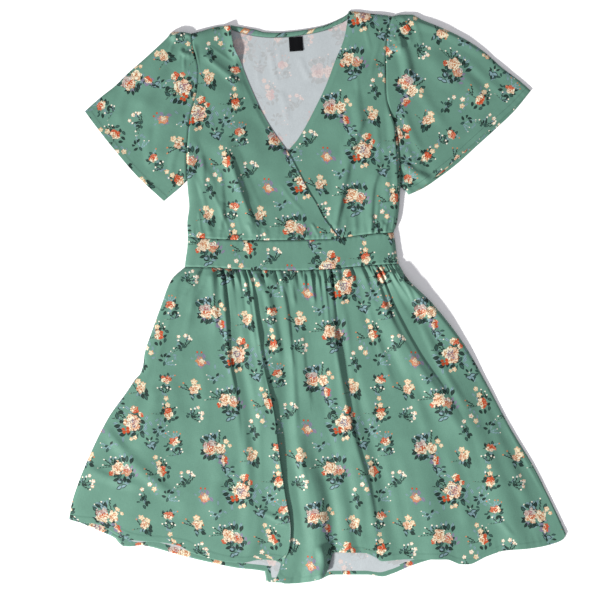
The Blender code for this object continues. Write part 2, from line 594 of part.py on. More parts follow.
def add_sleeve(name, armhole, top, under, hem, sign, folds):
    """A flattened open tube: its lower half lies on the ground, its upper half is raised."""
    x, y, v = sleeve_places(armhole, top, under, hem, sign)
    edge_line = [np.stack([x[:, k], y[:, k]], axis=-1) for k in (0, -1)]
    edges = rounded(distance_to(x, y, edge_line[0]), SHOULDER_ROUND)
    edges = edges * rounded(distance_to(x, y, edge_line[1]), SHOULDER_ROUND)
    loft = SLEEVE_LOFT * (1 - (1 - SLEEVE_HEM_LOFT) * eased(v))
    rise = SLEEVE_EDGE + (loft + fold_heights(x, y, folds)) * edges
    step = np.hypot(np.gradient(x, axis=1), np.gradient(y, axis=1))
    slope = np.abs(np.gradient(rise, axis=1)) / np.maximum(step, 1)
    wall = WALL * np.sqrt(1 + np.minimum(slope, SLEEVE_STEEPEST) ** 2)
    inner = slice(1, -1)
    turned = np.stack([x, y], axis=-1)
    width = turned[:, -1] - turned[:, 0]
    inward = width / np.linalg.norm(width, axis=1)[:, None] * WALL

    def ring(upper, lower, shift):
        """One skin: a folded edge, the upper half, the other edge, then the lower half back."""
        first = np.column_stack([turned[:, 0] + shift, np.full(len(x), SLEEVE_EDGE)])[:, None]
        last = np.column_stack([turned[:, -1] - shift, np.full(len(x), SLEEVE_EDGE)])[:, None]
        over = np.stack([x[:, inner], y[:, inner], upper[:, inner]], axis=-1)
        below = np.stack([x[:, inner], y[:, inner], np.full_like(x[:, inner], lower)], axis=-1)[:, ::-1]
        return np.concatenate([first, over, last, below], axis=1)

    outer_skin = ring(rise, 0.0, 0 * inward)
    inner_skin = ring(rise - wall, WALL, inward)
    rows, around = outer_skin.shape[:2]
    count = rows * around
    faces = []
    for r in range(rows - 1):
        for c in range(around):
            after = (c + 1) % around
            a, b, d, e = r * around + c, r * around + after, (r + 1) * around + after, (r + 1) * around + c
            faces += split(a, b, d, e)
            faces += [tuple(count + k for k in face[::-1]) for face in split(a, b, d, e)]
    for base in (0, (rows - 1) * around):
        for c in range(around):
            here, after = base + c, base + (c + 1) % around
            side = split(after, here, count + here, count + after)
            faces += side if base == 0 else [face[::-1] for face in side]
    add_solid(name, np.concatenate([outer_skin.reshape(-1, 3), inner_skin.reshape(-1, 3)]), faces, "printed_cloth")


def clear_scene():
    for obj in list(bpy.data.objects):
        bpy.data.objects.remove(obj, do_unlink=True)


def main():
    clear_scene()
    add_back_bodice()
    add_neck_binding()
    add_neck_label()
    add_under_front()
    add_over_front()
    add_waistbands()
    add_skirts()
    left = (LEFT_SIDE, LEFT_SLEEVE_TOP, LEFT_SLEEVE_UNDER, LEFT_SLEEVE_HEM)
    right = (RIGHT_SIDE, RIGHT_SLEEVE_TOP, RIGHT_SLEEVE_UNDER, RIGHT_SLEEVE_HEM)
    add_sleeve("sleeve_left", *left, -1, LEFT_SLEEVE_FOLDS)
    add_sleeve("sleeve_right", *right, 1, RIGHT_SLEEVE_FOLDS)


main()
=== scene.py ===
"""Dresses the frame of a wrap dress that lies flat: printed cloth shells, sewing, a bare label and a studio.

Sizes in the tables are millimetres; +X is the wearer's left, +Y runs from hem to neck, +Z is up.
"""

from functools import partialmethod

import bpy
import numpy as np
from bpy.props import FloatProperty, FloatVectorProperty, PointerProperty
from bpy.types import Operator, Panel, PropertyGroup
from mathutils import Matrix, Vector


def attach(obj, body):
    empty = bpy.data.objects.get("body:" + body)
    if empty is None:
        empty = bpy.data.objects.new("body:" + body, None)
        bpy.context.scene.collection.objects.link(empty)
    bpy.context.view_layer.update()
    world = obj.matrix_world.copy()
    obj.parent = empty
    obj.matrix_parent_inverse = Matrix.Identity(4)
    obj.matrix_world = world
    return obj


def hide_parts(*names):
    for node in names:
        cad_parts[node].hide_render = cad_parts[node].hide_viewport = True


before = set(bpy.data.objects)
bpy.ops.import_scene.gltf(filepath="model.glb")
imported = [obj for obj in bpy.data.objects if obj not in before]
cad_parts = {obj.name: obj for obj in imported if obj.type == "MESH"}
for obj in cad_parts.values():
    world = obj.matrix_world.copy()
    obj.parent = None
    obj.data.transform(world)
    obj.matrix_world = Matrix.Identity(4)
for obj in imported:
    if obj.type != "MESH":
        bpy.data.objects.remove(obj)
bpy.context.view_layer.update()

bl_info = {
    "name": "Wrap dress, laid flat",
    "version": (1, 0, 0),
    "blender": (4, 5, 0),
    "location": "3D View > Sidebar > Wrap Dress",
    "description": "Makes the printed cloth pieces of a short-sleeved wrap dress and a studio round them",
    "category": "Object",
}

MM = 0.001

# Cloth and seams
WALL = 1.2  # thickness of each cloth wall
GAP = 0.3  # clearance at seams and between layers
BACK_TOP = WALL  # the back pieces lie on the ground
FRONT_UNDER = BACK_TOP + GAP  # lowest underside of the front pieces

# How far the front stands off the back
LOFT = 4.0
LOFT_RIGHT_EXTRA = 4.0  # the right side of the waist stands higher
RIGHT_EXTRA_FROM, RIGHT_EXTRA_OVER = 50.0, 60.0
SIDE_ROUND = 14.0  # width of the roll at a side seam
RIGHT_ROUND = 9.0  # the right-hand side is rolled more tightly
SHOULDER_ROUND = 12.0
SLEEVE_ROUND = 7.0
NECK_EASE = 55.0  # width over which the front comes down to its free neck edge
NECK_LOFT = 0.3  # share of the loft that is left at the neck edge
OVER_LIFT = 1.4  # the over-lap lies this much higher where it covers the under-lap: wall, gap and ease
OVER_LIFT_PAST, OVER_LIFT_FADE = 18.0, 15.0  # how far past the hidden edge it ends, and its fading width
COVER_EASE, COVER_FADE = 2.0, 8.0  # the under-lap's folds start this far from the over-lap's edge
CHEST_EXTRA = 1.0  # the chest stands this much higher than the waist
CHEST_FADE = 60.0
UNDERARM_LEFT, UNDERARM_RIGHT = 185.6, 176.0  # height of each underarm point, +Y

# Outlines of the body: rows of (y, x), from waist to shoulder
LEFT_SIDE = [
    (47.4, -212.8), (61.6, -211.2), (77.6, -208.8), (95.8, -208.0), (116.0, -208.8), (144.8, -205.6),
    (164.0, -207.2), (185.6, -208.8), (222.2, -210.0), (253.0, -207.8), (283.5, -204.8), (304.0, -199.7),
    (328.8, -192.8), (359.2, -190.6), (385.6, -194.7), (399.8, -199.7), (421.6, -201.8),
]
RIGHT_SIDE = [
    (52.5, 130.4), (68.0, 127.2), (87.2, 124.8), (102.6, 122.4), (116.0, 127.2), (138.4, 130.4),
    (162.4, 132.0), (176.0, 133.0), (222.2, 130.9), (253.0, 128.8), (273.3, 123.7), (300.0, 114.4),
    (328.8, 109.6), (373.6, 108.5), (394.4, 109.4), (420.5, 111.8), (449.0, 119.6),
]
# Free front edges of the wrap: rows of (y, x)
OVER_EDGE = [
    (93.1, 35.2), (109.9, 21.6), (127.7, 9.0), (148.0, -1.6), (166.9, -13.0), (200.5, -30.9),
    (234.2, -48.8), (258.9, -66.7), (283.5, -82.4), (310.6, -96.0), (346.4, -111.7), (377.9, -124.0),
    (400.3, -134.1), (433.1, -140.0),
]
UNDER_EDGE = [
    (92.6, -116.0), (112.8, -108.0), (154.4, -88.8), (199.2, -66.4), (235.4, -45.4), (249.9, -33.1),
    (267.8, -21.9), (301.6, -4.0), (339.7, 14.1), (375.7, 27.5), (416.0, 43.2), (457.6, 50.4),
]
# Waist seams: rows of (x, y)
WAIST_TOP = [
    (-208.8, 95.8), (-174.7, 92.5), (-93.1, 89.9), (19.0, 91.5), (39.5, 94.1), (82.9, 99.7), (123.2, 102.6),
]
WAIST_BOTTOM = [
    (-212.8, 47.4), (-169.6, 46.1), (-108.5, 42.7), (-32.0, 41.4), (19.0, 44.0), (70.1, 48.6), (130.4, 52.5),
]
# Shoulder lines and the back neckline: rows of (x, y)
LEFT_SHOULDER = [(-202.0, 421.6), (-191.2, 424.0), (-180.0, 427.2), (-157.6, 432.8), (-140.0, 433.6)]
RIGHT_SHOULDER = [(50.4, 457.6), (69.6, 456.0), (84.0, 453.6), (112.8, 450.4), (120.0, 449.0)]
BACK_NECK_IN = [
    (-130.4, 425.0), (-113.1, 420.5), (-94.7, 417.0), (-74.4, 415.4), (-45.8, 416.3), (-23.4, 419.5),
    (4.0, 424.6), (42.0, 440.0),
]
BINDING_IN = [(-137.2, 427.0), *BACK_NECK_IN, (46.8, 442.6)]
BACK_NECK_OUT = [
    (-135.2, 434.2), (-115.2, 430.7), (-98.9, 427.8), (-84.6, 423.8), (-64.2, 423.0), (-43.7, 424.5),
    (-23.4, 427.0), (4.0, 432.2), (36.5, 445.3), (49.0, 453.6),
]
BINDING_OUT = [(-139.4, 435.0), *BACK_NECK_OUT, (49.6, 454.4)]
LABEL_CENTRE = (-34.4, 404.6)
LABEL_SIZE = (22.0, 23.0)
LABEL_TURN = np.radians(4.0)

# Skirt: x of each guide line at these shares of the way from waist to hem, and its hem height
SKIRT_SHARES = (0.0, 0.05, 0.15, 0.3, 0.45, 0.6, 0.75, 0.88, 0.95, 1.0)
SKIRT_GUIDES = {
    "left edge": ((-212, -234, -250, -272, -295, -336, -366, -387, -395, -398), -358),
    "first fold": ((-153, -148, -143, -138, -125, -119, -121, -129, -135, -140), -416),
    "deep fold": ((-110, -102, -94, -84, -72, -64, -54, -44, -44, -44), -431),
    "tube edge": ((-9, -6, -2, -6, -10, -4, 18, 25, 24, 27), -431),
    "right fold": ((22, 25, 31, 41, 54, 71, 91, 102, 107, 110), -426),
    "soft fold": ((94, 106, 126, 164, 212, 249, 273, 288, 295, 300), -410),
    "right edge": ((130, 143, 186, 236, 273, 308, 347, 375, 389, 398), -383),
}
# Hems: rows of (place across the guides, x, y)
FRONT_HEM = [
    (0.0, -398, -357), (0.06, -384, -361), (0.18, -355, -364), (0.25, -342, -368), (0.31, -328, -378),
    (0.42, -299, -390), (0.6, -241, -395), (0.71, -220, -400), (0.8, -203, -410), (1.0, -145, -425),
    (1.25, -121, -426), (1.6, -89, -421), (1.86, -59, -428), (1.93, -62, -441), (2.0, -66, -451),
    (2.12, -52, -460), (2.3, -37, -460), (2.6, -12, -456), (2.78, 7, -450), (2.88, 13, -444),
    (2.95, 19, -430), (3.0, 26, -410), (3.3, 52, -410), (3.6, 76, -411), (3.8, 93, -418),
    (3.95, 104, -424), (4.2, 145, -421), (4.5, 206, -421), (4.62, 230, -429), (4.7, 242, -429),
    (4.85, 272, -416), (5.0, 300, -407), (5.4, 344, -403), (5.75, 375, -397), (5.95, 395, -388),
    (6.0, 398, -380),
]
BACK_HEM = [
    (0.0, -397, -355), (0.25, -357, -373), (0.42, -325, -387), (0.47, -313, -400), (0.52, -302, -401),
    (0.6, -283, -399), (0.75, -220, -415), (1.0, -178, -425), (1.5, -130, -435), (1.98, -84, -441),
    (2.0, -82, -458), (2.3, -40, -459), (2.7, 0, -455), (3.0, 25, -446), (3.5, 79, -446),
    (3.8, 104, -449), (4.0, 121, -444), (4.2, 152, -431), (4.5, 186, -421), (5.0, 250, -412),
    (5.5, 320, -400), (6.0, 396, -381),
]
HEM_BLEND = 0.2  # share of the skirt's length over which the hem's own shape comes in
HEM_SHARP = 5.0  # how late in that the hem moves sideways

# Gathers under the waistband: (place across the guides, height, share of the length reached)
GATHERS = [
    (0.19, 2.0, 0.16), (0.5, 4.0, 0.3), (0.84, 4.5, 0.42), (1.0, 5.0, 0.7), (1.3, 3.5, 0.34),
    (1.6, 3.0, 0.22), (1.85, 4.0, 0.4), (2.0, 5.0, 0.5), (2.2, 4.5, 0.36), (2.4, 3.0, 0.24),
    (2.55, 4.0, 0.42), (2.7, 3.5, 0.3), (2.85, 4.5, 0.46), (3.0, 4.5, 0.55), (3.35, 3.5, 0.26),
    (3.7, 4.5, 0.34), (4.0, 5.0, 0.6), (4.24, 3.5, 0.26), (4.5, 4.5, 0.42), (4.72, 3.5, 0.24),
    (4.87, 4.0, 0.3), (5.0, 5.0, 0.66), (5.25, 3.0, 0.3), (5.5, 3.5, 0.24), (5.75, 2.5, 0.16),
    (6.0, 0.0, 0.1),
]
GATHER_CREST = 0.68  # where a gather is highest, between its two lines
GATHER_RISE = 0.035  # share of the length over which a gather reaches its height
GATHER_AT_SEAM = 0.15  # share of its height at the seam
GATHER_FADE = 0.75  # share of its reach over which it fades
# Large skirt folds: the line is the foot of the steep side
# (place, start, full, hold, end, gentle side, steep side, height)
SKIRT_FOLDS = [
    (1.0, 0.02, 0.1, 0.3, 0.68, 30, 8, 2.3),
    (2.0, 0.14, 0.45, 1.0, 1.5, 44, 5, 4.4),
    (3.0, 0.4, 0.85, 1.0, 1.5, 46, 24, 6.5),
    (4.0, 0.02, 0.25, 0.7, 1.05, 36, 12, 4.6),
    (5.0, 0.02, 0.15, 0.4, 0.85, 34, 18, 5.0),
    (0.45, 0.25, 0.5, 0.8, 1.2, 45, 40, 3.0),
    (1.5, 0.45, 0.75, 1.0, 1.4, 22, 18, 2.5),
    (3.55, 0.6, 0.85, 1.0, 1.4, 18, 16, 3.0),
    (4.6, 0.5, 0.8, 1.0, 1.4, 34, 34, 3.5),
    (5.5, 0.3, 0.6, 0.85, 1.2, 34, 28, 3.5),
]
# How far the skirt's front stands off its back: (share of the length, height)
SKIRT_LOFT = [(0.0, 4.0), (0.12, 4.5), (0.5, 4.5), (0.85, 3.0), (1.0, 1.2)]
WAIST_FADE = 0.15  # share of the length over which the skirt leaves the waist's own stand-off
FOLD_CLEAR = 28.0  # folds come up over this width inside a side seam

# Folds of the bodice and sleeves: a crest through three points, top to bottom,
# (x, y) three times, then width to its -X side, width to its +X side, and height
OVER_FOLDS = [
    (-150, 258, -130, 194, -99, 106, 34, 18, 5.4),
    (-141, 232, -121, 166, -96, 94, 18, 5, 4.6),
    (-197, 404, -196, 360, -198, 316, 3, 9, 5.0),
    (-198, 340, -204, 260, -207, 170, 4, 20, 4.0),
    (-186, 214, -168, 180, -152, 128, 20, 14, 3.0),
    (-184, 386, -152, 362, -120, 330, 10, 14, 2.6),
    (-112, 118, -107, 108, -103, 97, 5, 4, 2.5),
    (-96, 120, -94, 108, -94, 97, 5, 4, 2.5),
    (-10, 118, -4, 108, 0, 98, 4, 4, 2.0),
    (-134, 426, -132, 400, -124, 378, 12, 3, 3.5),
    (-180, 130, -176, 116, -172, 100, 9, 7, 2.5),
    (-185, 226, -184, 196, -181, 164, 12, 8, 4.4),
    (-156, 206, -153, 176, -150, 148, 10, 5, 3.0),
    (-151, 152, -152, 130, -154, 106, 9, 5, 4.2),
    (-86, 112, -85, 104, -84, 97, 5, 4, 2.4),
]
UNDER_FOLDS = [
    (77, 300, 50, 214, 29, 116, 20, 8, 6.0),
    (42, 168, 34, 132, 26, 90, 9, 5, 4.4),
    (106, 220, 88, 170, 84, 100, 16, 6, 5.4),
    (88, 130, 87, 114, 86, 98, 6, 4, 3.4),
    (96, 112, 96, 105, 96, 98, 4, 4, 2.4),
    (108, 118, 108, 108, 109, 98, 6, 4, 2.8),
    (119, 310, 124, 240, 128, 160, 14, 4, 5.5),
    (60, 330, 66, 290, 72, 262, 14, 12, 3.0),
    (104, 122, 103, 113, 101, 106, 6, 4, 2.0),
    (112, 250, 112, 200, 110, 150, 12, 10, 3.0),
    (58, 150, 60, 125, 62, 104, 7, 5, 2.5),
]
LEFT_SLEEVE_FOLDS = [
    (-220, 394, -212, 387, -203, 386, 5, 7, 3.0),
    (-236, 412, -220, 422, -203, 426, 14, 10, 4.5),
    (-236, 404, -262, 356, -290, 300, 26, 26, 2.5),
    (-214, 300, -246, 262, -262, 220, 20, 22, 2.5),
]
RIGHT_SLEEVE_FOLDS = [
    (113, 400, 122, 397, 136, 398, 7, 5, 3.0),
    (126, 418, 140, 386, 148, 346, 15, 12, 4.6),
    (134, 214, 158, 198, 184, 184, 14, 9, 4.0),
    (170, 400, 214, 350, 262, 318, 26, 26, 2.5),
]
FOLD_SAMPLES = 16  # points along a fold's crest
CORNER_ROUNDS = 30  # steps in which the corner of two outlines is found
HEM_POINTS = 40  # points along a sleeve's hem
# Shares of a fold's length over which it rises and fades, and where it has gone
FOLD_IN, FOLD_OUT, FOLD_END = 0.25, 0.3, 1.12

# Sleeves: shoulder fold, then underarm fold, each from armhole to hem, as (x, y)
LEFT_SLEEVE_TOP = [
    (-202.5, 421.4), (-218, 424), (-232, 424), (-242, 414), (-263, 394), (-284, 375), (-306, 356),
    (-325, 337), (-349, 318), (-373, 297),
]
LEFT_SLEEVE_UNDER = [(-209.1, 185.6), (-221, 174), (-233, 164), (-246, 153)]
RIGHT_SLEEVE_TOP = [
    (120.2, 449.1), (134, 452), (150, 452), (169, 443), (194, 433), (234, 414), (265, 394), (297, 366),
    (325, 345), (342, 330),
]
RIGHT_SLEEVE_UNDER = [(133.5, 176.0), (138, 172), (142, 168), (146, 163)]
# Sleeve hems, from shoulder fold to underarm fold
LEFT_SLEEVE_HEM = [(-373, 297), (-353, 270), (-322, 231), (-289, 193), (-268, 173), (-246, 153)]
RIGHT_SLEEVE_HEM = [
    (342, 330), (316, 298), (287, 270), (255, 241), (223, 212), (198, 193), (170, 174), (146, 163),
]
SLEEVE_LOFT = 5.0
SLEEVE_HEM_LOFT = 0.55  # share of the loft that is left at the hem
SLEEVE_EDGE = 1.5  # height of the middle of a sleeve's folded edge

# Cloth that is finer than the solids: creases as (x, y) three times, width to -X, width to +X, height
BODICE_CREASES = [
    (-186, 390, -160, 368, -122, 340, 5, 8, 1.4),
    (-176, 402, -150, 385, -132, 372, 4, 5, 0.9),
    (-190, 330, -176, 300, -168, 268, 9, 7, 1.3),
    (-198, 250, -186, 226, -176, 190, 7, 8, 1.5),
    (-196, 196, -186, 168, -178, 140, 6, 6, 1.3),
    (-146, 236, -126, 176, -104, 118, 6, 4, 1.6),
    (-130, 240, -112, 190, -92, 140, 8, 6, 1.2),
    (-172, 176, -158, 146, -142, 108, 5, 4, 1.7),
    (-190, 138, -188, 120, -186, 100, 4, 3, 1.4),
    (-152, 134, -146, 116, -142, 98, 4, 3, 1.6),
    (-128, 128, -124, 112, -120, 97, 3, 3, 1.5),
    (-84, 132, -82, 114, -80, 96, 4, 3, 1.4),
    (-66, 124, -64, 108, -62, 96, 3, 4, 1.2),
    (-44, 130, -40, 112, -36, 97, 4, 3, 1.3),
    (-22, 118, -18, 108, -14, 98, 3, 3, 1.4),
    (12, 108, 13, 102, 14, 97, 3, 2, 1.0),
    (-60, 180, -44, 158, -24, 136, 6, 5, 0.9),
    (22, 140, 22, 122, 20, 106, 4, 3, 1.2),
    (46, 128, 45, 116, 44, 102, 4, 3, 1.4),
    (72, 142, 73, 122, 74, 104, 3, 3, 1.5),
    (98, 150, 95, 128, 94, 106, 4, 3, 1.6),
    (113, 136, 112, 122, 110, 108, 3, 3, 1.7),
    (122, 128, 121, 118, 119, 108, 2, 2, 1.5),
    (40, 250, 46, 214, 50, 176, 7, 6, 1.0),
    (92, 300, 96, 256, 100, 214, 8, 7, 1.2),
    (54, 380, 62, 350, 66, 318, 6, 6, 1.0),
    (100, 410, 92, 384, 84, 352, 7, 6, 1.2),
    (72, 440, 78, 420, 84, 396, 6, 6, 1.0),
]
SKIRT_CREASES = [
    (6, -396, 10, -424, 3, -454, 14, 10, 6.5),
    (-61, 36, -49, -25, -40, -112, 15, 5, 3.4),
    (-8, 40, -8, 20, -5, -10, 9, 5, 3.0),
    (-44, 38, -40, 14, -36, -12, 8, 5, 2.6),
    (-26, -60, -22, -110, -12, -170, 18, 7, 2.4),
    (-187, 40, -204, 16, -220, -6, 5, 4, 2.4),
    (-176, 36, -190, 6, -202, -24, 6, 4, 2.0),
    (-76, -200, -69.5, -245, -59, -300, 20, 5, 2.0),
    (-137, -286, -120, -298, -102, -308, 6, 4, 1.5),
    (-96, -340, -76, -350, -56, -364, 7, 4, 1.6),
    (-106, 14, -99, -36, -92, -78, 16, 6, 4.4),
    (-86, 28, -73, -36, -62, -94, 9, 11, 3.8),
    (-169, 38, -166, 0, -163, -54, 7, 5, 2.2),
    (-222, 12, -238, -44, -258, -104, 7, 6, 1.6),
    (-196, 18, -206, -40, -220, -96, 6, 6, 1.5),
    (-262, -88, -288, -160, -320, -236, 12, 10, 1.4),
    (-257, -140, -260, -200, -284, -238, 16, 6, 3.2),
    (-346, -200, -291, -265, -230, -320, 18, 7, 3.2),
    (-372, -270, -330, -290, -290, -300, 16, 8, 1.8),
    (-214, -246, -250, -276, -262, -300, 10, 4, 1.6),
    (-130, -262, -158, -300, -172, -344, 12, 5, 1.6),
    (-236, -120, -222, -190, -214, -262, 12, 12, 1.2),
    (-186, -90, -180, -170, -184, -250, 10, 12, 1.3),
    (-166, -230, -160, -300, -166, -372, 14, 16, 1.8),
    (-206, -300, -214, -350, -226, -388, 12, 12, 1.4),
    (-300, -250, -320, -300, -340, -352, 14, 12, 1.3),
    (-96, -60, -90, -140, -96, -230, 9, 9, 1.6),
    (-120, -200, -112, -290, -116, -390, 14, 14, 2.0),
    (-40, -60, -38, -130, -34, -210, 8, 8, 1.6),
    (-28, -220, -24, -300, -14, -380, 10, 12, 1.8),
    (16, -100, 22, -180, 40, -270, 12, 12, 1.3),
    (44, -20, 52, -100, 64, -190, 7, 7, 1.6),
    (52, -250, 64, -320, 70, -392, 12, 12, 1.8),
    (76, 0, 96, -70, 122, -150, 8, 8, 1.8),
    (118, -60, 150, -140, 178, -226, 12, 14, 1.7),
    (160, -30, 192, -100, 236, -176, 9, 10, 1.7),
    (128, -240, 146, -310, 158, -392, 16, 16, 2.0),
    (200, -230, 226, -300, 240, -372, 14, 16, 1.8),
    (278, -343, 298, -364, 313, -383, 10, 4, 1.4),
    (260, -170, 300, -250, 336, -330, 16, 14, 1.6),
    (298, -196, 330, -255, 360, -310, 5, 4, 1.6),
    (150, 20, 172, -20, 196, -66, 6, 6, 1.5),
    (134, 36, 150, 0, 166, -40, 5, 5, 1.4),
]
SLEEVE_CREASES = [
    (-208, 412, -218, 398, -222, 380, 4, 5, 1.8),
    (-206, 398, -214, 380, -214, 362, 3, 4, 1.5),
    (-224, 420, -232, 404, -238, 386, 4, 5, 1.4),
    (-240, 366, -262, 336, -286, 302, 12, 14, 1.3),
    (-226, 330, -244, 300, -258, 262, 10, 12, 1.4),
    (-300, 344, -312, 312, -320, 280, 12, 12, 1.3),
    (-222, 250, -230, 226, -236, 200, 8, 9, 1.3),
    (-268, 272, -272, 240, -268, 208, 10, 10, 1.1),
    (128, 446, 202, 424, 270, 386, 14, 6, 1.5),
    (122, 434, 130, 418, 134, 398, 4, 4, 1.7),
    (118, 418, 126, 404, 134, 390, 3, 4, 1.4),
    (136, 446, 144, 428, 148, 404, 4, 5, 1.5),
    (150, 446, 160, 424, 166, 398, 5, 5, 1.2),
    (150, 350, 176, 310, 204, 272, 12, 12, 1.4),
    (206, 390, 240, 350, 268, 312, 14, 14, 1.3),
    (136, 300, 148, 268, 166, 232, 10, 10, 1.3),
    (240, 376, 276, 344, 304, 318, 10, 12, 1.2),
    (140, 240, 154, 216, 172, 200, 7, 8, 1.4),
]
BACK_CREASES = [
    (-76, 400, -72, 372, -66, 346, 5, 6, 0.7),
    (-62, 400, -60, 378, -56, 352, 4, 5, 0.6),
    (-28, 384, -22, 366, -14, 350, 5, 6, 0.7),
    (-12, 380, -6, 366, 0, 352, 4, 4, 0.5),
    (-58, 330, -52, 306, -48, 280, 6, 7, 0.6),
    (-92, 392, -96, 366, -94, 340, 5, 5, 0.5),
]
BACK_CREASE_EASE = 12.0  # they come up over this width inside the open neck
# How far the upper hem of each sleeve stops short of the lower one, by share from shoulder to underarm
LEFT_HEM_SHORT = [(0, 0), (1, 0)]
RIGHT_HEM_SHORT = [(0, 0), (0.14, 4.0), (0.4, 7.5), (0.7, 6.5), (0.87, 3.0), (1, 0)]
HEM_SHORT_EASE = 40.0  # width over which the upper half is drawn back to that
# Troughs beside the deep folds: as SKIRT_FOLDS, with depths
SKIRT_TROUGHS = [
    (2.6, 0.16, 0.4, 1.0, 1.5, 22, 16, 3.4),
    (1.42, 0.05, 0.2, 0.6, 0.9, 14, 12, 2.0),
    (4.22, 0.1, 0.35, 0.8, 1.1, 18, 16, 2.4),
    (3.2, 0.55, 0.85, 1.0, 1.5, 16, 12, 2.0),
]
# Notches between the gathers, where the seam pulls the cloth in:
# (x at the band, share of the length reached, depth, half width)
NOTCHES = [
    (-200.8, 0.05, 2.6, 2.6), (-182.4, 0.09, 3.4, 2.6), (-162.4, 0.05, 3.6, 2.4), (-152.8, 0.3, 4.2, 3.0),
    (-140.0, 0.08, 3.8, 2.4), (-127.2, 0.05, 3.4, 2.2), (-116.0, 0.1, 4.4, 2.6), (-109.6, 0.06, 3.6, 2.0),
    (-90.4, 0.1, 4.0, 2.6), (-79.2, 0.04, 3.4, 2.0), (-68.0, 0.12, 4.4, 2.6), (-56.8, 0.05, 3.6, 2.0),
    (-45.6, 0.07, 3.4, 2.4), (-34.4, 0.03, 2.6, 2.0), (-24.8, 0.05, 3.2, 2.4), (-8.8, 0.08, 4.2, 2.8),
    (0.8, 0.04, 3.0, 2.2), (12.0, 0.05, 3.2, 2.4), (21.6, 0.18, 4.4, 2.8), (37.6, 0.05, 3.6, 2.2),
    (55.2, 0.06, 3.8, 2.4), (72.8, 0.12, 4.4, 2.6), (82.4, 0.05, 3.8, 2.2), (93.6, 0.14, 4.6, 2.6),
    (101.6, 0.07, 4.2, 2.2), (109.6, 0.05, 3.8, 2.0), (117.6, 0.08, 3.6, 2.2), (124.0, 0.04, 2.8, 2.0),
]
# Share of a gather's height that the real cloth keeps below the band, by place across the guides
GATHER_KEEPS = [
    (0, 0.3), (0.9, 0.45), (1.3, 0.2), (1.9, 0.35), (2.2, 0.05), (2.9, 0), (3.3, 0.25), (3.9, 0.3),
    (4.3, 0.2), (4.9, 0.4), (5.3, 0.2), (6, 0.2),
]
GATHER_SOFT_FROM, GATHER_SOFT_OVER = 0.01, 0.08  # shares of the length from and over which it comes to that
NOTCH_SHARP = 1.3  # how sharp a notch's bottom is
# How far each skirt fold's crest leans over its steep side, in the order of SKIRT_FOLDS
FOLD_LEANS = (2.0, 6.5, 0.0, 1.5, 0.0, 0.0, 0.0, 0.0, 0.0, 0.0)
CREST_SHARP = 1.4  # sharpness of a crest that leans, on its gentle side
LEAN_SHARP = 1.6  # how closely the lean keeps to the crest
LEAN_LATE, LEAN_RISE = 0.1, 1.5  # a lean starts this share of the length late, and this steeply
# Slow unevenness of laid cloth: (wavelength, direction in degrees, offset, height)
UNEVEN = [
    (118, 12, 0.3, 0.34), (91, 71, 1.9, 0.28), (73, 134, 4.1, 0.26), (57, 98, 2.6, 0.22), (44, 38, 5.2, 0.16),
    (36, 158, 0.9, 0.12), (29, 84, 3.3, 0.08),
]
UNEVEN_EASE = 20.0  # width from a seam over which the cloth comes to that
UNEVEN_SWAY, UNEVEN_SLOW = 0.8, 2.3  # how much each wave bends, and the bend's length in wavelengths
CALMER = 0.6  # share of the unevenness on the skirt and the waistband

CREASE_SOFT = 0.85  # share of a skirt crease's height that is used
FOLD_SOFT = 0.6  # share of a bodice fold's height that the real cloth keeps
NECK_PRESSED = 9.0  # width over which a free neck edge comes down to the back
NECK_CLEAR = 0.15  # how far above the back it comes to rest
# On its left side the edge stands up: from this height on, by this much, rising and fading over these widths
NECK_STAND_FROM, NECK_STAND, NECK_STAND_RISE, NECK_STAND_FADE = 362.0, 5.0, 30.0, 16.0

# The right side round the waist: extra height, the widths over which it rises and fades, and its share by y
PUFF_HEIGHT, PUFF_ROUND, PUFF_FADE = 6.5, 8.0, 34.0
PUFF_SHARES = [
    (-460, -0.3), (-220, -0.48), (-140, -0.28), (-70, 0.15), (-20, 0.65), (16, 0.75), (36, 0.6), (43, 0),
    (80, -0.12), (130, 0), (176, 0),
]
# How far in the left side of the skirt is pushed where it flares out, by y
LEFT_NOTCH = [(-150, 0), (-136, 0.6), (-122, 6.2), (-108, 4.8), (-94, 1.4), (-80, 0)]
NOTCH_EASE = 60.0  # width over which that fades

# Sewing
SEAM_WIDTH, SEAM_DEPTH = 3.2, 0.95  # how wide and deep a seam draws the cloth in
HEM_FOLD = 9.0  # width of a turned hem
SEAM_STITCH = HEM_FOLD - 0.55  # where a plain seam falls in the coordinates of a hem's stitches
BACK_HEM_FOLD = 7.0
STITCH_INSIDE = 1.0  # the stitches lie this far inside the fold's raw edge
HEM_STEP = 0.35  # extra height of the doubled cloth
HEM_STEP_EASE = 1.2  # width over which it drops to the single cloth
HEM_ROW_WIDE = 0.8  # half width of the groove of the stitches
SLEEVE_HEM_ROW, SKIRT_HEM_ROW = 0.1, 0.05  # its depth
NO_HEM = 500.0  # distance that stands for no hem near
# Puckers along a seam: height, waves, sway and slow waves for each millimetre, width over which they fade
LAP_PUCKERS = (0.5, 0.62, 2.2, 0.13, 12.0)
BAND_PUCKERS = (0.22, 0.55, 2.0, 0.11, 9.0)
HEM_PUCKERS = (0.14, 2 * np.pi / 11, 2.0, 1 / 17, 12.0)

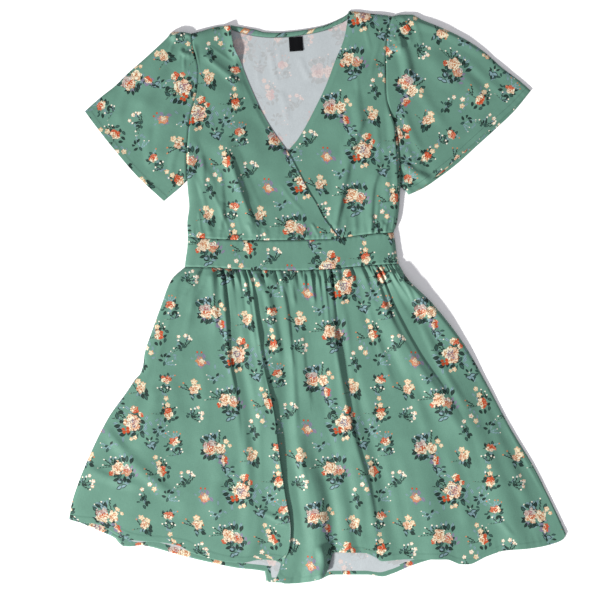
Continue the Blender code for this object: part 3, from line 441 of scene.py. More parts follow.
# Trim of the back neckline
BINDING_WALL, LABEL_WALL = 0.6, 0.5
BINDING_LOW, BINDING_RISE, BINDING_ROUND = 1.5, 1.7, 0.7  # height of its edges, its rise and how round it is
BINDING_RIPPLE, BINDING_WAVE = 0.12, 0.9
BINDING_FACE = 9.0  # width of its cloth
BINDING_BIAS = 0.8  # angle of its cut to the print, in radians
BINDING_CUT = (3.0, 60.0)  # slant and place of that cut
BINDING_SEAM = 1.6  # its seam lies this far outside a hem's fold
LABEL_LIFT, LABEL_CURL = 1.0, 0.5  # how far it stands off the back, and how much more at its free end
LABEL_WAVE, LABEL_WAVE_RATE = 0.4, 0.25
LABEL_RIPPLE, LABEL_RIPPLE_RATE = 0.15, 0.5
FLOOR_CLEAR = 0.02  # the back pieces start this far above the floor

# Where in the print each piece is cut from: x and y
CUT_FROM = {
    "back_bodice": (31.0, 12.0), "front_bodice_over": (98.0, 120.0), "front_bodice_under": (12.0, 70.0),
    "waistband": (66.0, 40.0), "skirt_front": (40.0, 70.0), "skirt_back": (84.0, 20.0),
    "sleeve_left": (150.0, 30.0), "sleeve_right": (20.0, 150.0),
}
BACK_BAND_FURTHER = 90.0  # the back waistband is cut this much further on, both ways
SLEEVE_GRAIN = 0.85  # turn of each sleeve's grain, in radians
# Near the band the gathers take up less of the print: from and over these shares of the length
TAKEN_UP_FROM, TAKEN_UP_OVER = -0.04, 0.3

# The studio, in metres
FLOOR_SIZE = 12.0
FLOOR_PALER = 1.02  # brightness of its palest spots, by its own colour
KEY_PLACE = (-3.8, -3.72, 2.72)
KEY_SIZE = 0.5
KEY_COLOUR = (1.0, 0.985, 0.95)
AIR_COLOUR = (0.97, 0.96, 1.0, 1.0)
SENSOR = 36.0  # width of the camera's sensor, in millimetres
VIEW_CENTRE = (-0.028, -0.0056)
GARMENT_HEIGHT = 0.006
CLIP_END = 20.0

# Fineness of the shells, in points, and how much closer they lie towards both ends
BODICE_COLUMNS, BODICE_ROWS = 120, 150
BACK_COLUMNS, BACK_ROWS = 130, 140
BAND_COLUMNS, BAND_ROWS = 200, 30
BINDING_COLUMNS, BINDING_ROWS = 140, 9
LABEL_POINTS = 16
SKIRT_STEPS, SKIRT_ROWS = 9, 156
BACK_SKIRT_COLUMNS, BACK_SKIRT_ROWS = 240, 90
SLEEVE_AROUND, SLEEVE_ROWS = 90, 90
CROWDING, SKIRT_CROWDING, SLEEVE_CROWDING, AROUND_CROWDING = 0.6, 0.7, 0.7, 0.9
DEEP_FOLD_STEPS = ((2.0, 0.009), (3.0, 0.014), (4.0, 0.012))  # (place, step) of the extra columns there
DEEP_FOLD_COLUMNS = (-6, -5, -4, -3, -2, -1, 1)


# ---- curves ----


def through(rows, at):
    """Value at each key, on a smooth curve through (key, value) rows that never overshoots."""
    keys, values = np.array(sorted(rows), float).T
    steps = np.diff(keys)
    rises = np.diff(values) / steps
    slopes = np.zeros_like(values)
    slopes[0], slopes[-1] = rises[0], rises[-1]
    before, after = rises[:-1], rises[1:]
    same_way = before * after > 0
    safe = np.where(same_way, before + after, 1.0)
    slopes[1:-1] = np.where(same_way, 2 * before * after / safe, 0.0)
    at = np.clip(np.asarray(at, float), keys[0], keys[-1])
    k = np.clip(np.searchsorted(keys, at) - 1, 0, len(steps) - 1)
    u = (at - keys[k]) / steps[k]
    start, end = values[k], values[k + 1]
    bend_in, bend_out = slopes[k] * steps[k], slopes[k + 1] * steps[k]
    rest = 1 - u
    bends = u * rest * (rest * bend_in - u * bend_out)
    return rest * rest * (1 + 2 * u) * start + u * u * (3 - 2 * u) * end + bends


def along(points, shares):
    """Points at shares of the length of a smooth curve through (x, y) points."""
    points = np.array(points, float)
    lengths = np.concatenate([[0], np.cumsum(np.hypot(*np.diff(points, axis=0).T))])
    lengths /= lengths[-1]
    x = through(list(zip(lengths, points[:, 0])), shares)
    y = through(list(zip(lengths, points[:, 1])), shares)
    return np.stack([x, y], axis=-1)


def eased(value):
    """0 to 1 with a soft start and end."""
    value = np.clip(value, 0.0, 1.0)
    return value * value * (3 - 2 * value)


def rounded(distance, width):
    """Quarter-circle rise from 0 at an edge to 1 at this width inside it."""
    rest = 1 - np.clip(distance / width, 0.0, 1.0)
    return np.sqrt(1 - rest * rest)


def hump(out):
    """1 at a crest, falling softly to 0 where out is 1."""
    return 0.5 + 0.5 * np.cos(np.pi * np.clip(out, 0, 1))


def beside(x, y, line):
    """Distance, share of its length and side, for each place and each run of a line of (x, y) points."""
    starts, runs = line[:-1], np.diff(line, axis=0)
    off_x, off_y = x[..., None] - starts[:, 0], y[..., None] - starts[:, 1]
    share = np.clip((off_x * runs[:, 0] + off_y * runs[:, 1]) / (runs**2).sum(axis=1), 0, 1)
    reach = np.hypot(off_x - share * runs[:, 0], off_y - share * runs[:, 1])
    return reach, share, runs[:, 0] * off_y - runs[:, 1] * off_x


def distance_to(x, y, line):
    """Distance from each place to a line of (x, y) points."""
    return beside(x, y, line)[0].min(axis=-1)


def side_line(rows, low, high, count=24):
    """Points of a (y, x) outline between two heights."""
    y = np.linspace(low, high, count)
    return np.stack([through(rows, y), y], axis=-1)


def level_line(rows, count=16):
    """Points of an (x, y) outline over its whole length."""
    x = np.linspace(rows[0][0], rows[-1][0], count)
    return np.stack([x, through(rows, x)], axis=-1)


# ---- heights ----


def crossing_height():
    """Height at which the two front edges cross."""
    y = np.linspace(OVER_EDGE[0][0], OVER_EDGE[-1][0], 400)
    over, under = through(OVER_EDGE, y), through(UNDER_EDGE, y)
    return y[np.argmax(over < under)]


CROSSING = crossing_height()
NECK_LINE = np.concatenate([
    side_line(OVER_EDGE, CROSSING, OVER_EDGE[-1][0])[::-1],
    side_line(UNDER_EDGE, CROSSING, UNDER_EDGE[-1][0]),
])


def waist_loft(x):
    """Stand-off of the front at the waist, higher at the right side."""
    return LOFT + LOFT_RIGHT_EXTRA * eased((x - RIGHT_EXTRA_FROM) / RIGHT_EXTRA_OVER)


def bodice_under(x, y):
    """Height of the underside of a front bodice piece that has no folds of its own."""
    left = distance_to(x, y, side_line(LEFT_SIDE, LEFT_SIDE[0][0], UNDERARM_LEFT))
    right = distance_to(x, y, side_line(RIGHT_SIDE, RIGHT_SIDE[0][0], UNDERARM_RIGHT))
    shoulder = np.minimum(
        distance_to(x, y, level_line(LEFT_SHOULDER)), distance_to(x, y, level_line(RIGHT_SHOULDER))
    )
    neck = NECK_LOFT + (1 - NECK_LOFT) * eased(distance_to(x, y, NECK_LINE) / NECK_EASE)
    sides = rounded(left, SIDE_ROUND) * rounded(right, RIGHT_ROUND)
    high = eased((y - UNDERARM_LEFT) / CHEST_FADE)
    loft = waist_loft(x) * (1 - high) + (LOFT + CHEST_EXTRA) * high
    return FRONT_UNDER + loft * sides * rounded(shoulder, SHOULDER_ROUND) * neck


def fold_heights(x, y, folds):
    """Sum of the ridges of a fold table: each rises quickly at its top and fades out past its lower end."""
    total = np.zeros_like(x)
    for x0, y0, x1, y1, x2, y2, minus, plus, height in folds:
        line = along([(x0, y0), (x1, y1), (x2, y2)], np.linspace(0, 1, FOLD_SAMPLES))
        reach, share, side = beside(x, y, line)
        near = reach.argmin(axis=-1)[..., None]
        reach, share, side = (np.take_along_axis(row, near, axis=-1)[..., 0] for row in (reach, share, side))
        place = (near[..., 0] + share) / (FOLD_SAMPLES - 1)
        across = hump(reach / np.where(side < 0, minus, plus))
        total += height * across * eased(place / FOLD_IN) ** 0.5 * eased((FOLD_END - place) / FOLD_OUT)
    return total


def over_lift(x, y):
    """Extra height of the over-lap where it lies on the under-lap, fading past the hidden edge."""
    inside = x - through(UNDER_EDGE, y)
    return OVER_LIFT * eased((inside + OVER_LIFT_PAST) / OVER_LIFT_FADE)


def covered(x, y):
    """0 where the over-lap lies on the under-lap, 1 clear of it: hidden cloth has no folds."""
    return eased((x - through(OVER_EDGE, y) - COVER_EASE) / COVER_FADE)


# ---- skirt ----


def skirt_places(hem, across, shares):
    """x and y of skirt points, as shares of the length by places across the guides."""
    guides = list(SKIRT_GUIDES.values())
    lines = [through(list(zip(SKIRT_SHARES, row)), shares) for row, _ in guides]
    x = np.array([through(list(enumerate(column)), across) for column in np.array(lines).T])
    top_x = x[0]
    low_y = through([(k, low) for k, (_, low) in enumerate(guides)], across)
    top_y = through(WAIST_BOTTOM, top_x)
    share = shares[:, None]
    y = top_y + (low_y - top_y) * share
    hem_x = through([(place, px) for place, px, _ in hem], across)
    hem_y = through([(place, py) for place, _, py in hem], across)
    near = np.clip((share - (1 - HEM_BLEND)) / HEM_BLEND, 0, 1)
    x, y = x + (hem_x - x[-1]) * near**HEM_SHARP, y + (hem_y - low_y) * near**2
    return x + through(LEFT_NOTCH, y) * (1 - eased((x - x[:, :1]) / NOTCH_EASE)), y


GATHER_LINES = [0.0] + [place for place, _, _ in GATHERS]


def skirt_columns():
    """Places across the skirt: even steps in every gather, and closer ones at the deep folds."""
    places = []
    for start, end in zip(GATHER_LINES, GATHER_LINES[1:]):
        places += [start + (end - start) * k / SKIRT_STEPS for k in range(SKIRT_STEPS)]
    for foot, step in DEEP_FOLD_STEPS:
        places += [foot + step * k for k in DEEP_FOLD_COLUMNS]
    return np.array(sorted({round(place, 5) for place in places} | {6.0}))


def gather_heights(across, shares):
    """Height of the small gathers, each highest just before its own line."""
    share = shares[:, None]
    total = np.zeros((len(share), len(across)))
    for start, (end, height, reach) in zip(GATHER_LINES, GATHERS):
        part = (across - start) / (end - start)
        up = 1 - hump(part / GATHER_CREST)
        down = hump((part - GATHER_CREST) / (1 - GATHER_CREST))
        wave = np.where((part >= 0) & (part <= 1), up * down, 0.0)
        grown = GATHER_AT_SEAM + (1 - GATHER_AT_SEAM) * eased(share / GATHER_RISE)
        total += height * wave * grown * eased((reach - share) / (GATHER_FADE * reach))
    return total


def foot_line(place, across, x):
    """x in each row of the line that keeps one place across the skirt."""
    return np.array([np.interp(place, across, row) for row in x])[:, None]


def off_crest(place, gentle, steep, across, x):
    """How far each point is from a fold's crest, and that as a share of the fold's width on its side."""
    off = x - foot_line(place, across, x) + steep
    return off, np.clip(np.abs(off) / np.where(off < 0, gentle, steep), 0, 1)


def skirt_fold_heights(across, shares, x, folds, leans):
    """Height of the large folds, from the foot of each steep side. One that leans has a sharp crest."""
    share = shares[:, None]
    total = np.zeros_like(x)
    for (place, start, full, hold, end, gentle, steep, height), lean in zip(folds, leans):
        off, out = off_crest(place, gentle, steep, across, x)
        ridge = hump(out)
        if lean:
            ridge = np.where(off < 0, (1 - out) ** CREST_SHARP, ridge)
        grown = eased((share - start) / (full - start)) * eased((end - share) / (end - hold))
        total += height * ridge * grown
    return total


def fold_leans(across, shares, x):
    """How far the crests of the deep folds lean over their steep sides."""
    share = shares[:, None]
    total = np.zeros_like(x)
    for (place, start, full, hold, end, gentle, steep, _), lean in zip(SKIRT_FOLDS, FOLD_LEANS):
        _, out = off_crest(place, gentle, steep, across, x)
        grown = eased((share - start - LEAN_LATE) / (full - start)) ** LEAN_RISE
        total += lean * hump(out) ** LEAN_SHARP * grown * eased((end - share) / (end - hold))
    return total


def rolled_sides(x):
    """1 over most of a piece of the front, falling to 0 in a roll at each side seam."""
    return rounded(x - x[:, :1], SIDE_ROUND) * rounded(x[:, -1:] - x, RIGHT_ROUND)


def inside_sides(x):
    """1 over most of the skirt, falling to 0 at the side seams, where there are no folds."""
    return rounded(x - x[:, :1], FOLD_CLEAR) * rounded(x[:, -1:] - x, FOLD_CLEAR)


def skirt_under(across, shares, x):
    """Height of the underside of the skirt's front."""
    share = shares[:, None]
    loft = through(SKIRT_LOFT, share)
    at_waist = eased(1 - share / WAIST_FADE)
    loft = loft * (1 - at_waist) + waist_loft(x) * at_waist
    folds = gather_heights(across, shares) + skirt_fold_heights(across, shares, x, SKIRT_FOLDS, FOLD_LEANS)
    return FRONT_UNDER + loft * rolled_sides(x) + folds * inside_sides(x)


def notch_depths(across, shares, x):
    """Depth of the notches, each along its own line from the band."""
    share = shares[:, None]
    total = np.zeros_like(x)
    for at, reach, depth, wide in NOTCHES:
        foot = foot_line(np.interp(at, x[0], across), across, x)
        groove = np.clip(1 - np.abs(x - foot) / wide, 0, 1) ** NOTCH_SHARP
        total += depth * groove * eased((reach - share) / reach)
    return total


def patch(left, right, upper, lower, t, u):
    """x and y inside the seams, at shares down and across, between two (y, x) sides and two (x, y) ends."""
    t, u = t[:, None], u[None, :]

    def corner(side, end, y):
        for _ in range(CORNER_ROUNDS):
            x = through(side, y)
            y = through(end, x)
        return float(y)

    left_y = corner(left, upper, left[-1][0]) * (1 - t) + corner(left, lower, left[0][0]) * t
    right_y = corner(right, upper, right[-1][0]) * (1 - t) + corner(right, lower, right[0][0]) * t
    x = (through(left, left_y) + GAP / 2) * (1 - u) + (through(right, right_y) - GAP / 2) * u
    y = left_y * (1 - u) + right_y * u
    top = through(upper, x[0]) - GAP / 2
    bottom = through(lower, x[-1]) + GAP / 2
    return x, y + (top - y[0]) * (1 - t) + (bottom - y[-1]) * t


def sleeve_places(armhole, top, under, hem_line, sign, s, v):
    """x and y over a sleeve: rows from armhole to hem, columns from shoulder fold to underarm fold."""
    high, low = top[0][1], under[0][1]
    hole_y = high + (low - high) * s
    hole = np.stack([through(armhole, hole_y) + sign * GAP / 2, hole_y], axis=-1)
    first, last = along(top, v), along(under, v)
    first[0], last[0] = hole[0], hole[-1]
    hem = along(hem_line, s)
    row, column = s[None, :, None], v[:, None, None]
    sides = first[:, None] * (1 - row) + last[:, None] * row
    ends = hole[None] * (1 - column) + hem[None] * column
    upper, lower = hole[0] * (1 - row) + hole[-1] * row, hem[0] * (1 - row) + hem[-1] * row
    grid = sides + ends - (upper * (1 - column) + lower * column)
    return grid[..., 0], grid[..., 1]


# ---- finer heights ----


def crowded(count, pull=CROWDING):
    """Shares from 0 to 1 that lie closer together at both ends."""
    share = np.linspace(0, 1, count + 1)
    return share - pull * np.sin(2 * np.pi * share) / (2 * np.pi)


def unevenness(x, y):
    """Slow rise and fall of cloth that was smoothed out by hand."""
    total = np.zeros_like(x)
    for length, turn, offset, height in UNEVEN:
        c, s = np.cos(np.radians(turn)), np.sin(np.radians(turn))
        bend = UNEVEN_SWAY * np.sin((x * s - y * c) * 2 * np.pi / (UNEVEN_SLOW * length) + 1.7 * offset)
        total += height * np.sin((x * c + y * s) * 2 * np.pi / length + offset + bend)
    return total


def seam_dip(distance):
    """Depth by which cloth is drawn in at a sewn seam."""
    return -SEAM_DEPTH * (1 - eased(distance / SEAM_WIDTH))


def puckers(run, gap, height, wave, sway, slow, wide):
    """Small uneven waves along a seam."""
    return height * np.sin(run * wave + sway * np.sin(run * slow)) * np.exp(-((gap / wide) ** 2))


def hem_relief(distance, run, groove):
    """Doubled cloth of a turned hem, the row of stitches that holds it, and the puckers along it."""
    doubled = HEM_STEP * eased((HEM_FOLD + HEM_STEP_EASE / 2 - distance) / HEM_STEP_EASE)
    row = -groove * np.exp(-(((distance - HEM_FOLD + STITCH_INSIDE) / HEM_ROW_WIDE) ** 2))
    return doubled + row + puckers(run, distance - HEM_FOLD, *HEM_PUCKERS)


def run_along(x, y):
    """Length along the last row of a grid, the same in each of its rows."""
    steps = np.hypot(np.diff(x[-1]), np.diff(y[-1]))
    return np.broadcast_to(np.concatenate([[0], np.cumsum(steps)]), x.shape)


def cloth_lay(points, column, shift, turn=0.0, grown=1.0):
    """Where each point lies on the uncreased cloth: length across from one column, height as it is.

    A share below 1 leaves out some of the length that the creases take up.
    """
    x, y, z = np.moveaxis(points, -1, 0)
    steps = np.hypot(np.diff(x, axis=1), np.diff(z, axis=1) * grown)
    across = np.concatenate([np.zeros((len(x), 1)), np.cumsum(steps, axis=1)], axis=1)
    across = across + (x - across)[:, column][:, None]
    c, s = np.cos(turn), np.sin(turn)
    return np.stack([across * c + y * s + shift[0], y * c - across * s + shift[1]], axis=-1)


def seam_lines(distance):
    """Seam coordinates of a piece without a hem of its own, from the distance to its seams."""
    return np.stack([np.zeros_like(distance), SEAM_STITCH + distance], axis=-1)


def right_puff(inward, y):
    """How much higher the right-hand side stands round the waist, where its shadow on the floor is widest."""
    ridge = rounded(inward, PUFF_ROUND) * (1 - eased((inward - PUFF_ROUND) / PUFF_FADE))
    return PUFF_HEIGHT * ridge * through(PUFF_SHARES, y)


def no_hem(points):
    """Seam coordinates of a piece that shows no seam."""
    return np.full(points.shape[:2] + (2,), NO_HEM)


# ---- shells ----


def make_shell(name, points, cloth, seams, wall, finishes, closed=False, face_down=False, hem=None):
    """A thin closed shell: its print side passes through the grid of points, its wall lies behind it.

    The shell carries where each corner lies on the flat cloth and beside its seams. Near a hem, given as the
    distance from it, the print is on the inside too.
    """
    bpy.ops.object.select_all(action="DESELECT")
    rows, columns = points.shape[:2]
    index = np.arange(rows * columns).reshape(rows, columns)
    if closed:
        index = np.column_stack([index, index[:, 0]])
    corners = [(slice(None, -1), slice(None, -1)), (slice(1, None), slice(None, -1)),
               (slice(1, None), slice(1, None)), (slice(None, -1), slice(1, None))]
    if face_down:
        corners = corners[::-1]
    faces = np.stack([index[place] for place in corners], axis=-1).reshape(-1, 4)
    mesh = bpy.data.meshes.new(name)
    mesh.from_pydata((points.reshape(-1, 3) * MM).tolist(), [], faces.tolist())
    for layer, values in (("Cloth", cloth), ("Seams", seams)):
        flat_values = np.stack([values[place] for place in corners], axis=2).reshape(-1, 2) * MM
        mesh.uv_layers.new(name=layer).data.foreach_set("uv", flat_values.astype(np.float32).ravel())
    for finish in finishes:
        mesh.materials.append(finish)
    if hem is not None:
        distance = np.mean([hem[place] for place in corners], axis=0).reshape(-1)
        mesh.polygons.foreach_set("material_index", np.where(distance < HEM_FOLD, 2, 0).astype(np.int32))
    piece = bpy.data.objects.new(name, mesh)
    bpy.context.scene.collection.objects.link(piece)
    bpy.context.view_layer.objects.active = piece
    piece.select_set(True)
    solidify = piece.modifiers.new("Wall", "SOLIDIFY")
    solidify.thickness = wall
    solidify.offset = -1.0
    solidify.material_offset = 1
    solidify.material_offset_rim = 0
    bpy.ops.object.modifier_apply(modifier=solidify.name)
    piece.data.shade_smooth()
    piece.select_set(False)
    return piece


def settle(piece, *nodes, slot="printed_cloth"):
    """Lets a finished piece ride on the garment and stand for its solids."""
    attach(piece, "root")
    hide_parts(*nodes)


def on_top(x, y, under):
    """Points of the print side of cloth whose underside has these heights."""
    wall = bpy.context.scene.dress_cloth.wall / MM
    return np.stack([x, y, under + wall], axis=-1)


# ---- printed cloth ----


# The cloth's surface
PATCH_SCALE, PATCH_DARK = 0.035, 0.94  # waves a millimetre of faintly darker patches, and how dark they are
GHOST_WHITE = 0.3  # share of white in the ink that shows through
# how much darker a dark thread is, how strongly painted shade darkens the grooves of seams and stitch rows,
# and how much thread covers its stitches
THREAD_DARK, GROOVE_PAINTED_SHADE, STITCH_COVER = 0.16, 0.42, 0.8
# colour of the painted shade in those grooves
GROOVE_SHADE_COLOUR = (0.03, 0.06, 0.05, 1.0)
ROUGHNESS, ROUGHER = 0.56, 0.14  # of the cloth, and how much rougher its dark threads are
CRUMPLE_STRETCH, CRUMPLE_SCALE = (1.0, 0.45, 1.0), 0.11
WEAVE_HIGH, CRUMPLE_HIGH, STITCH_HIGH, GROOVE_DEEP = 0.03, 0.22, 0.18, 0.3  # relief, in millimetres
SLUB_THIN, SLUB_SCALE = 0.06, 2.2
STITCH_HALF = 0.34  # half width of a stitch, in millimetres
LABEL_RIB, LABEL_RELIEF = 0.5, 0.1  # pitch of its rib, and its height, in millimetres
WHITE, BLACK = (1.0, 1.0, 1.0, 1.0), (0.0, 0.0, 0.0, 1.0)

CHANCE_KEYS = ((12.9898, 78.233, 37.719), (39.346, 11.135, 83.155), (73.156, 52.235, 9.151))
CHANCE_SPREAD = 4375.85
SOCKETS = {"value": "NodeSocketFloat", "vector": "NodeSocketVector", "colour": "NodeSocketColor"}


class Sums:
    """Puts nodes into one tree; each call adds one and gives its result."""

    def __init__(self, tree):
        self.tree = tree

    def node(self, kind, **settings):
        made = self.tree.nodes.new(kind)
        for name, value in settings.items():
            setattr(made, name, value)
        return made

    def feed(self, socket, value):
        if isinstance(value, bpy.types.NodeSocket):
            self.tree.links.new(value, socket)
        elif value is not None:
            socket.default_value = value

    def math(self, operation, *values):
        made = self.node("ShaderNodeMath", operation=operation)
        for socket, value in zip(made.inputs, values):
            self.feed(socket, value)
        return made.outputs[0]

    add, less = partialmethod(math, "ADD"), partialmethod(math, "SUBTRACT")
    times = partialmethod(math, "MULTIPLY")
    fused = partialmethod(math, "MULTIPLY_ADD")  # a times b, plus c
    most, size = partialmethod(math, "MAXIMUM"), partialmethod(math, "ABSOLUTE")
    sine, cosine = partialmethod(math, "SINE"), partialmethod(math, "COSINE")

    def held(self, value):
        """A value held between 0 and 1. The renderer's stack stays small with plain nodes in their order."""
        return self.most(self.math("MINIMUM", value, 1.0), 0.0)

    def sharp(self, value, slope):
        """1 inside an edge, 0 outside, and a narrow step where the value crosses 0."""
        return self.held(self.fused(value, slope, 0.5))

    def ramp(self, value, low, high):
        """0 at low, 1 at high, straight between them and held outside."""
        scale = 1 / (high - low)
        return self.held(self.fused(value, scale, -low * scale))

    def vector(self, operation, a, b=None, scale=None):
        made = self.node("ShaderNodeVectorMath", operation=operation)
        for k, value in ((0, a), (1, b), (3, scale)):
            self.feed(made.inputs[k], value)
        return made.outputs[0]

    def split(self, vector):
        made = self.node("ShaderNodeSeparateXYZ")
        self.feed(made.inputs[0], vector)
        return made.outputs[:]

    def mix(self, amount, low, high, blend="MIX"):
        made = self.node("ShaderNodeMix", data_type="RGBA", blend_type=blend)
        for k, value in ((0, amount), (6, low), (7, high)):
            self.feed(made.inputs[k], value)
        return made.outputs[2]

    def noise(self, vector, scale, detail, roughness=0.5):
        made = self.node("ShaderNodeTexNoise")
        settings = {"Vector": vector, "Scale": scale, "Detail": detail, "Roughness": roughness}
        for name, value in settings.items():
            self.feed(made.inputs[name], value)
        return made.outputs[0]

    def shaded(self, colour, by):
        """One colour multiplied by another."""
        return self.mix(1.0, colour, by, "MULTIPLY")

    def both(self, a, b, c, d):
        """a times b, plus c times d."""
        return self.fused(a, b, self.times(c, d))

    def length(self, x, y):
        return self.math("SQRT", self.both(x, x, y, y))

    def chance(self, a, b, c):
        """Three random numbers from 0 to 1 that stay the same wherever the given ones do."""
        turns = [self.fused(a, p, self.both(b, q, c, r)) for p, q, r in CHANCE_KEYS]
        return [self.math("FRACT", self.times(self.sine(turn), CHANCE_SPREAD)) for turn in turns]

    def spokes(self, x, y, count):
        """Distance from the middle, the turn round it as a number of spokes, and that in whole spokes."""
        far = self.length(x, y)
        turn = self.times(self.math("ARCTAN2", y, x), self.times(count, 1 / (2 * np.pi)))
        return far, turn, self.math("FLOOR", turn)

    def turned(self, x, y, angle):
        """x and y in axes that are turned by an angle."""
        c, s = self.cosine(angle), self.sine(angle)
        return self.both(x, c, y, s), self.less(self.times(y, c), self.times(x, s))

    def use(self, group, **values):
        """A node of a finished group; gives its outputs by name."""
        made = self.node("ShaderNodeGroup", node_tree=group)
        for name, value in values.items():
            self.feed(made.inputs[name], value)
        return made.outputs


def make_group(name, takes, gives, draw):
    """A named shader node group, drawn once."""
    if name in bpy.data.node_groups:
        return bpy.data.node_groups[name]
    tree = bpy.data.node_groups.new(name, "ShaderNodeTree")
    for sockets, way in ((takes, "INPUT"), (gives, "OUTPUT")):
        for label, kind in sockets.items():
            tree.interface.new_socket(name=label, in_out=way, socket_type=SOCKETS[kind])
    sums = Sums(tree)
    given = sums.node("NodeGroupInput").outputs
    results = draw(sums, *[given[label] for label in takes])
    end = sums.node("NodeGroupOutput")
    for label, value in zip(gives, results):
        sums.feed(end.inputs[label], value)
    return tree


REPEAT_WIDE, REPEAT_TALL = 176.0, 218.0  # the print's half-drop repeat, in millimetres
EDGE = 26.0  # sharpness of a printed edge, for each unit of a motif
LEAF_EDGE = 6.0  # sharpness of a leaf's, for each half length
FAR = 900.0  # a place that any motif is nearer than
SEED_STEP = 0.137  # difference of two motifs' random numbers, for each millimetre between them
PALE_LEAVES = 0.4  # share of the dark leaves that are pale inside their outline
LEAF_CHANGES = (("leaf", 1.16, 1.22, 0.22), ("mist", 1.15, 0.85, -0.14))  # (ink, longer, wider, more of them)
LEAF_BUNCHING = 0.5  # how much more often a leaf stands on two sides of a motif than between them
OUTLINE = (0.13, 0.035, 0.02, 1.0)  # ink of the darkest drawn lines
# The chart of the repeat, in millimetres: x, y and turn in degrees
CHART = {
    "round": [(83, 86, -6)],
    "pair": [(39, 155, 4)],
    "posy": [(65, 12, 5)],
    "small": [(151, 56, 8), (143, 155, -14)],
    "double": [(11, 34, -8), (99, 144, 12)],
    "trumpet": [(24, 75, 6)],
    "chain": [(142, 107, -6), (128, 14, 12)],
    "sprig": [(170, 215, 24), (11, 209, -40)],
    "loop": [(115, 50, 10), (58, 120, -20)],
    "twig": [(109, 189, 10)],
    "fern": [(147, 189, -30), (48, 54, 18), (129, 75, -24)],
}
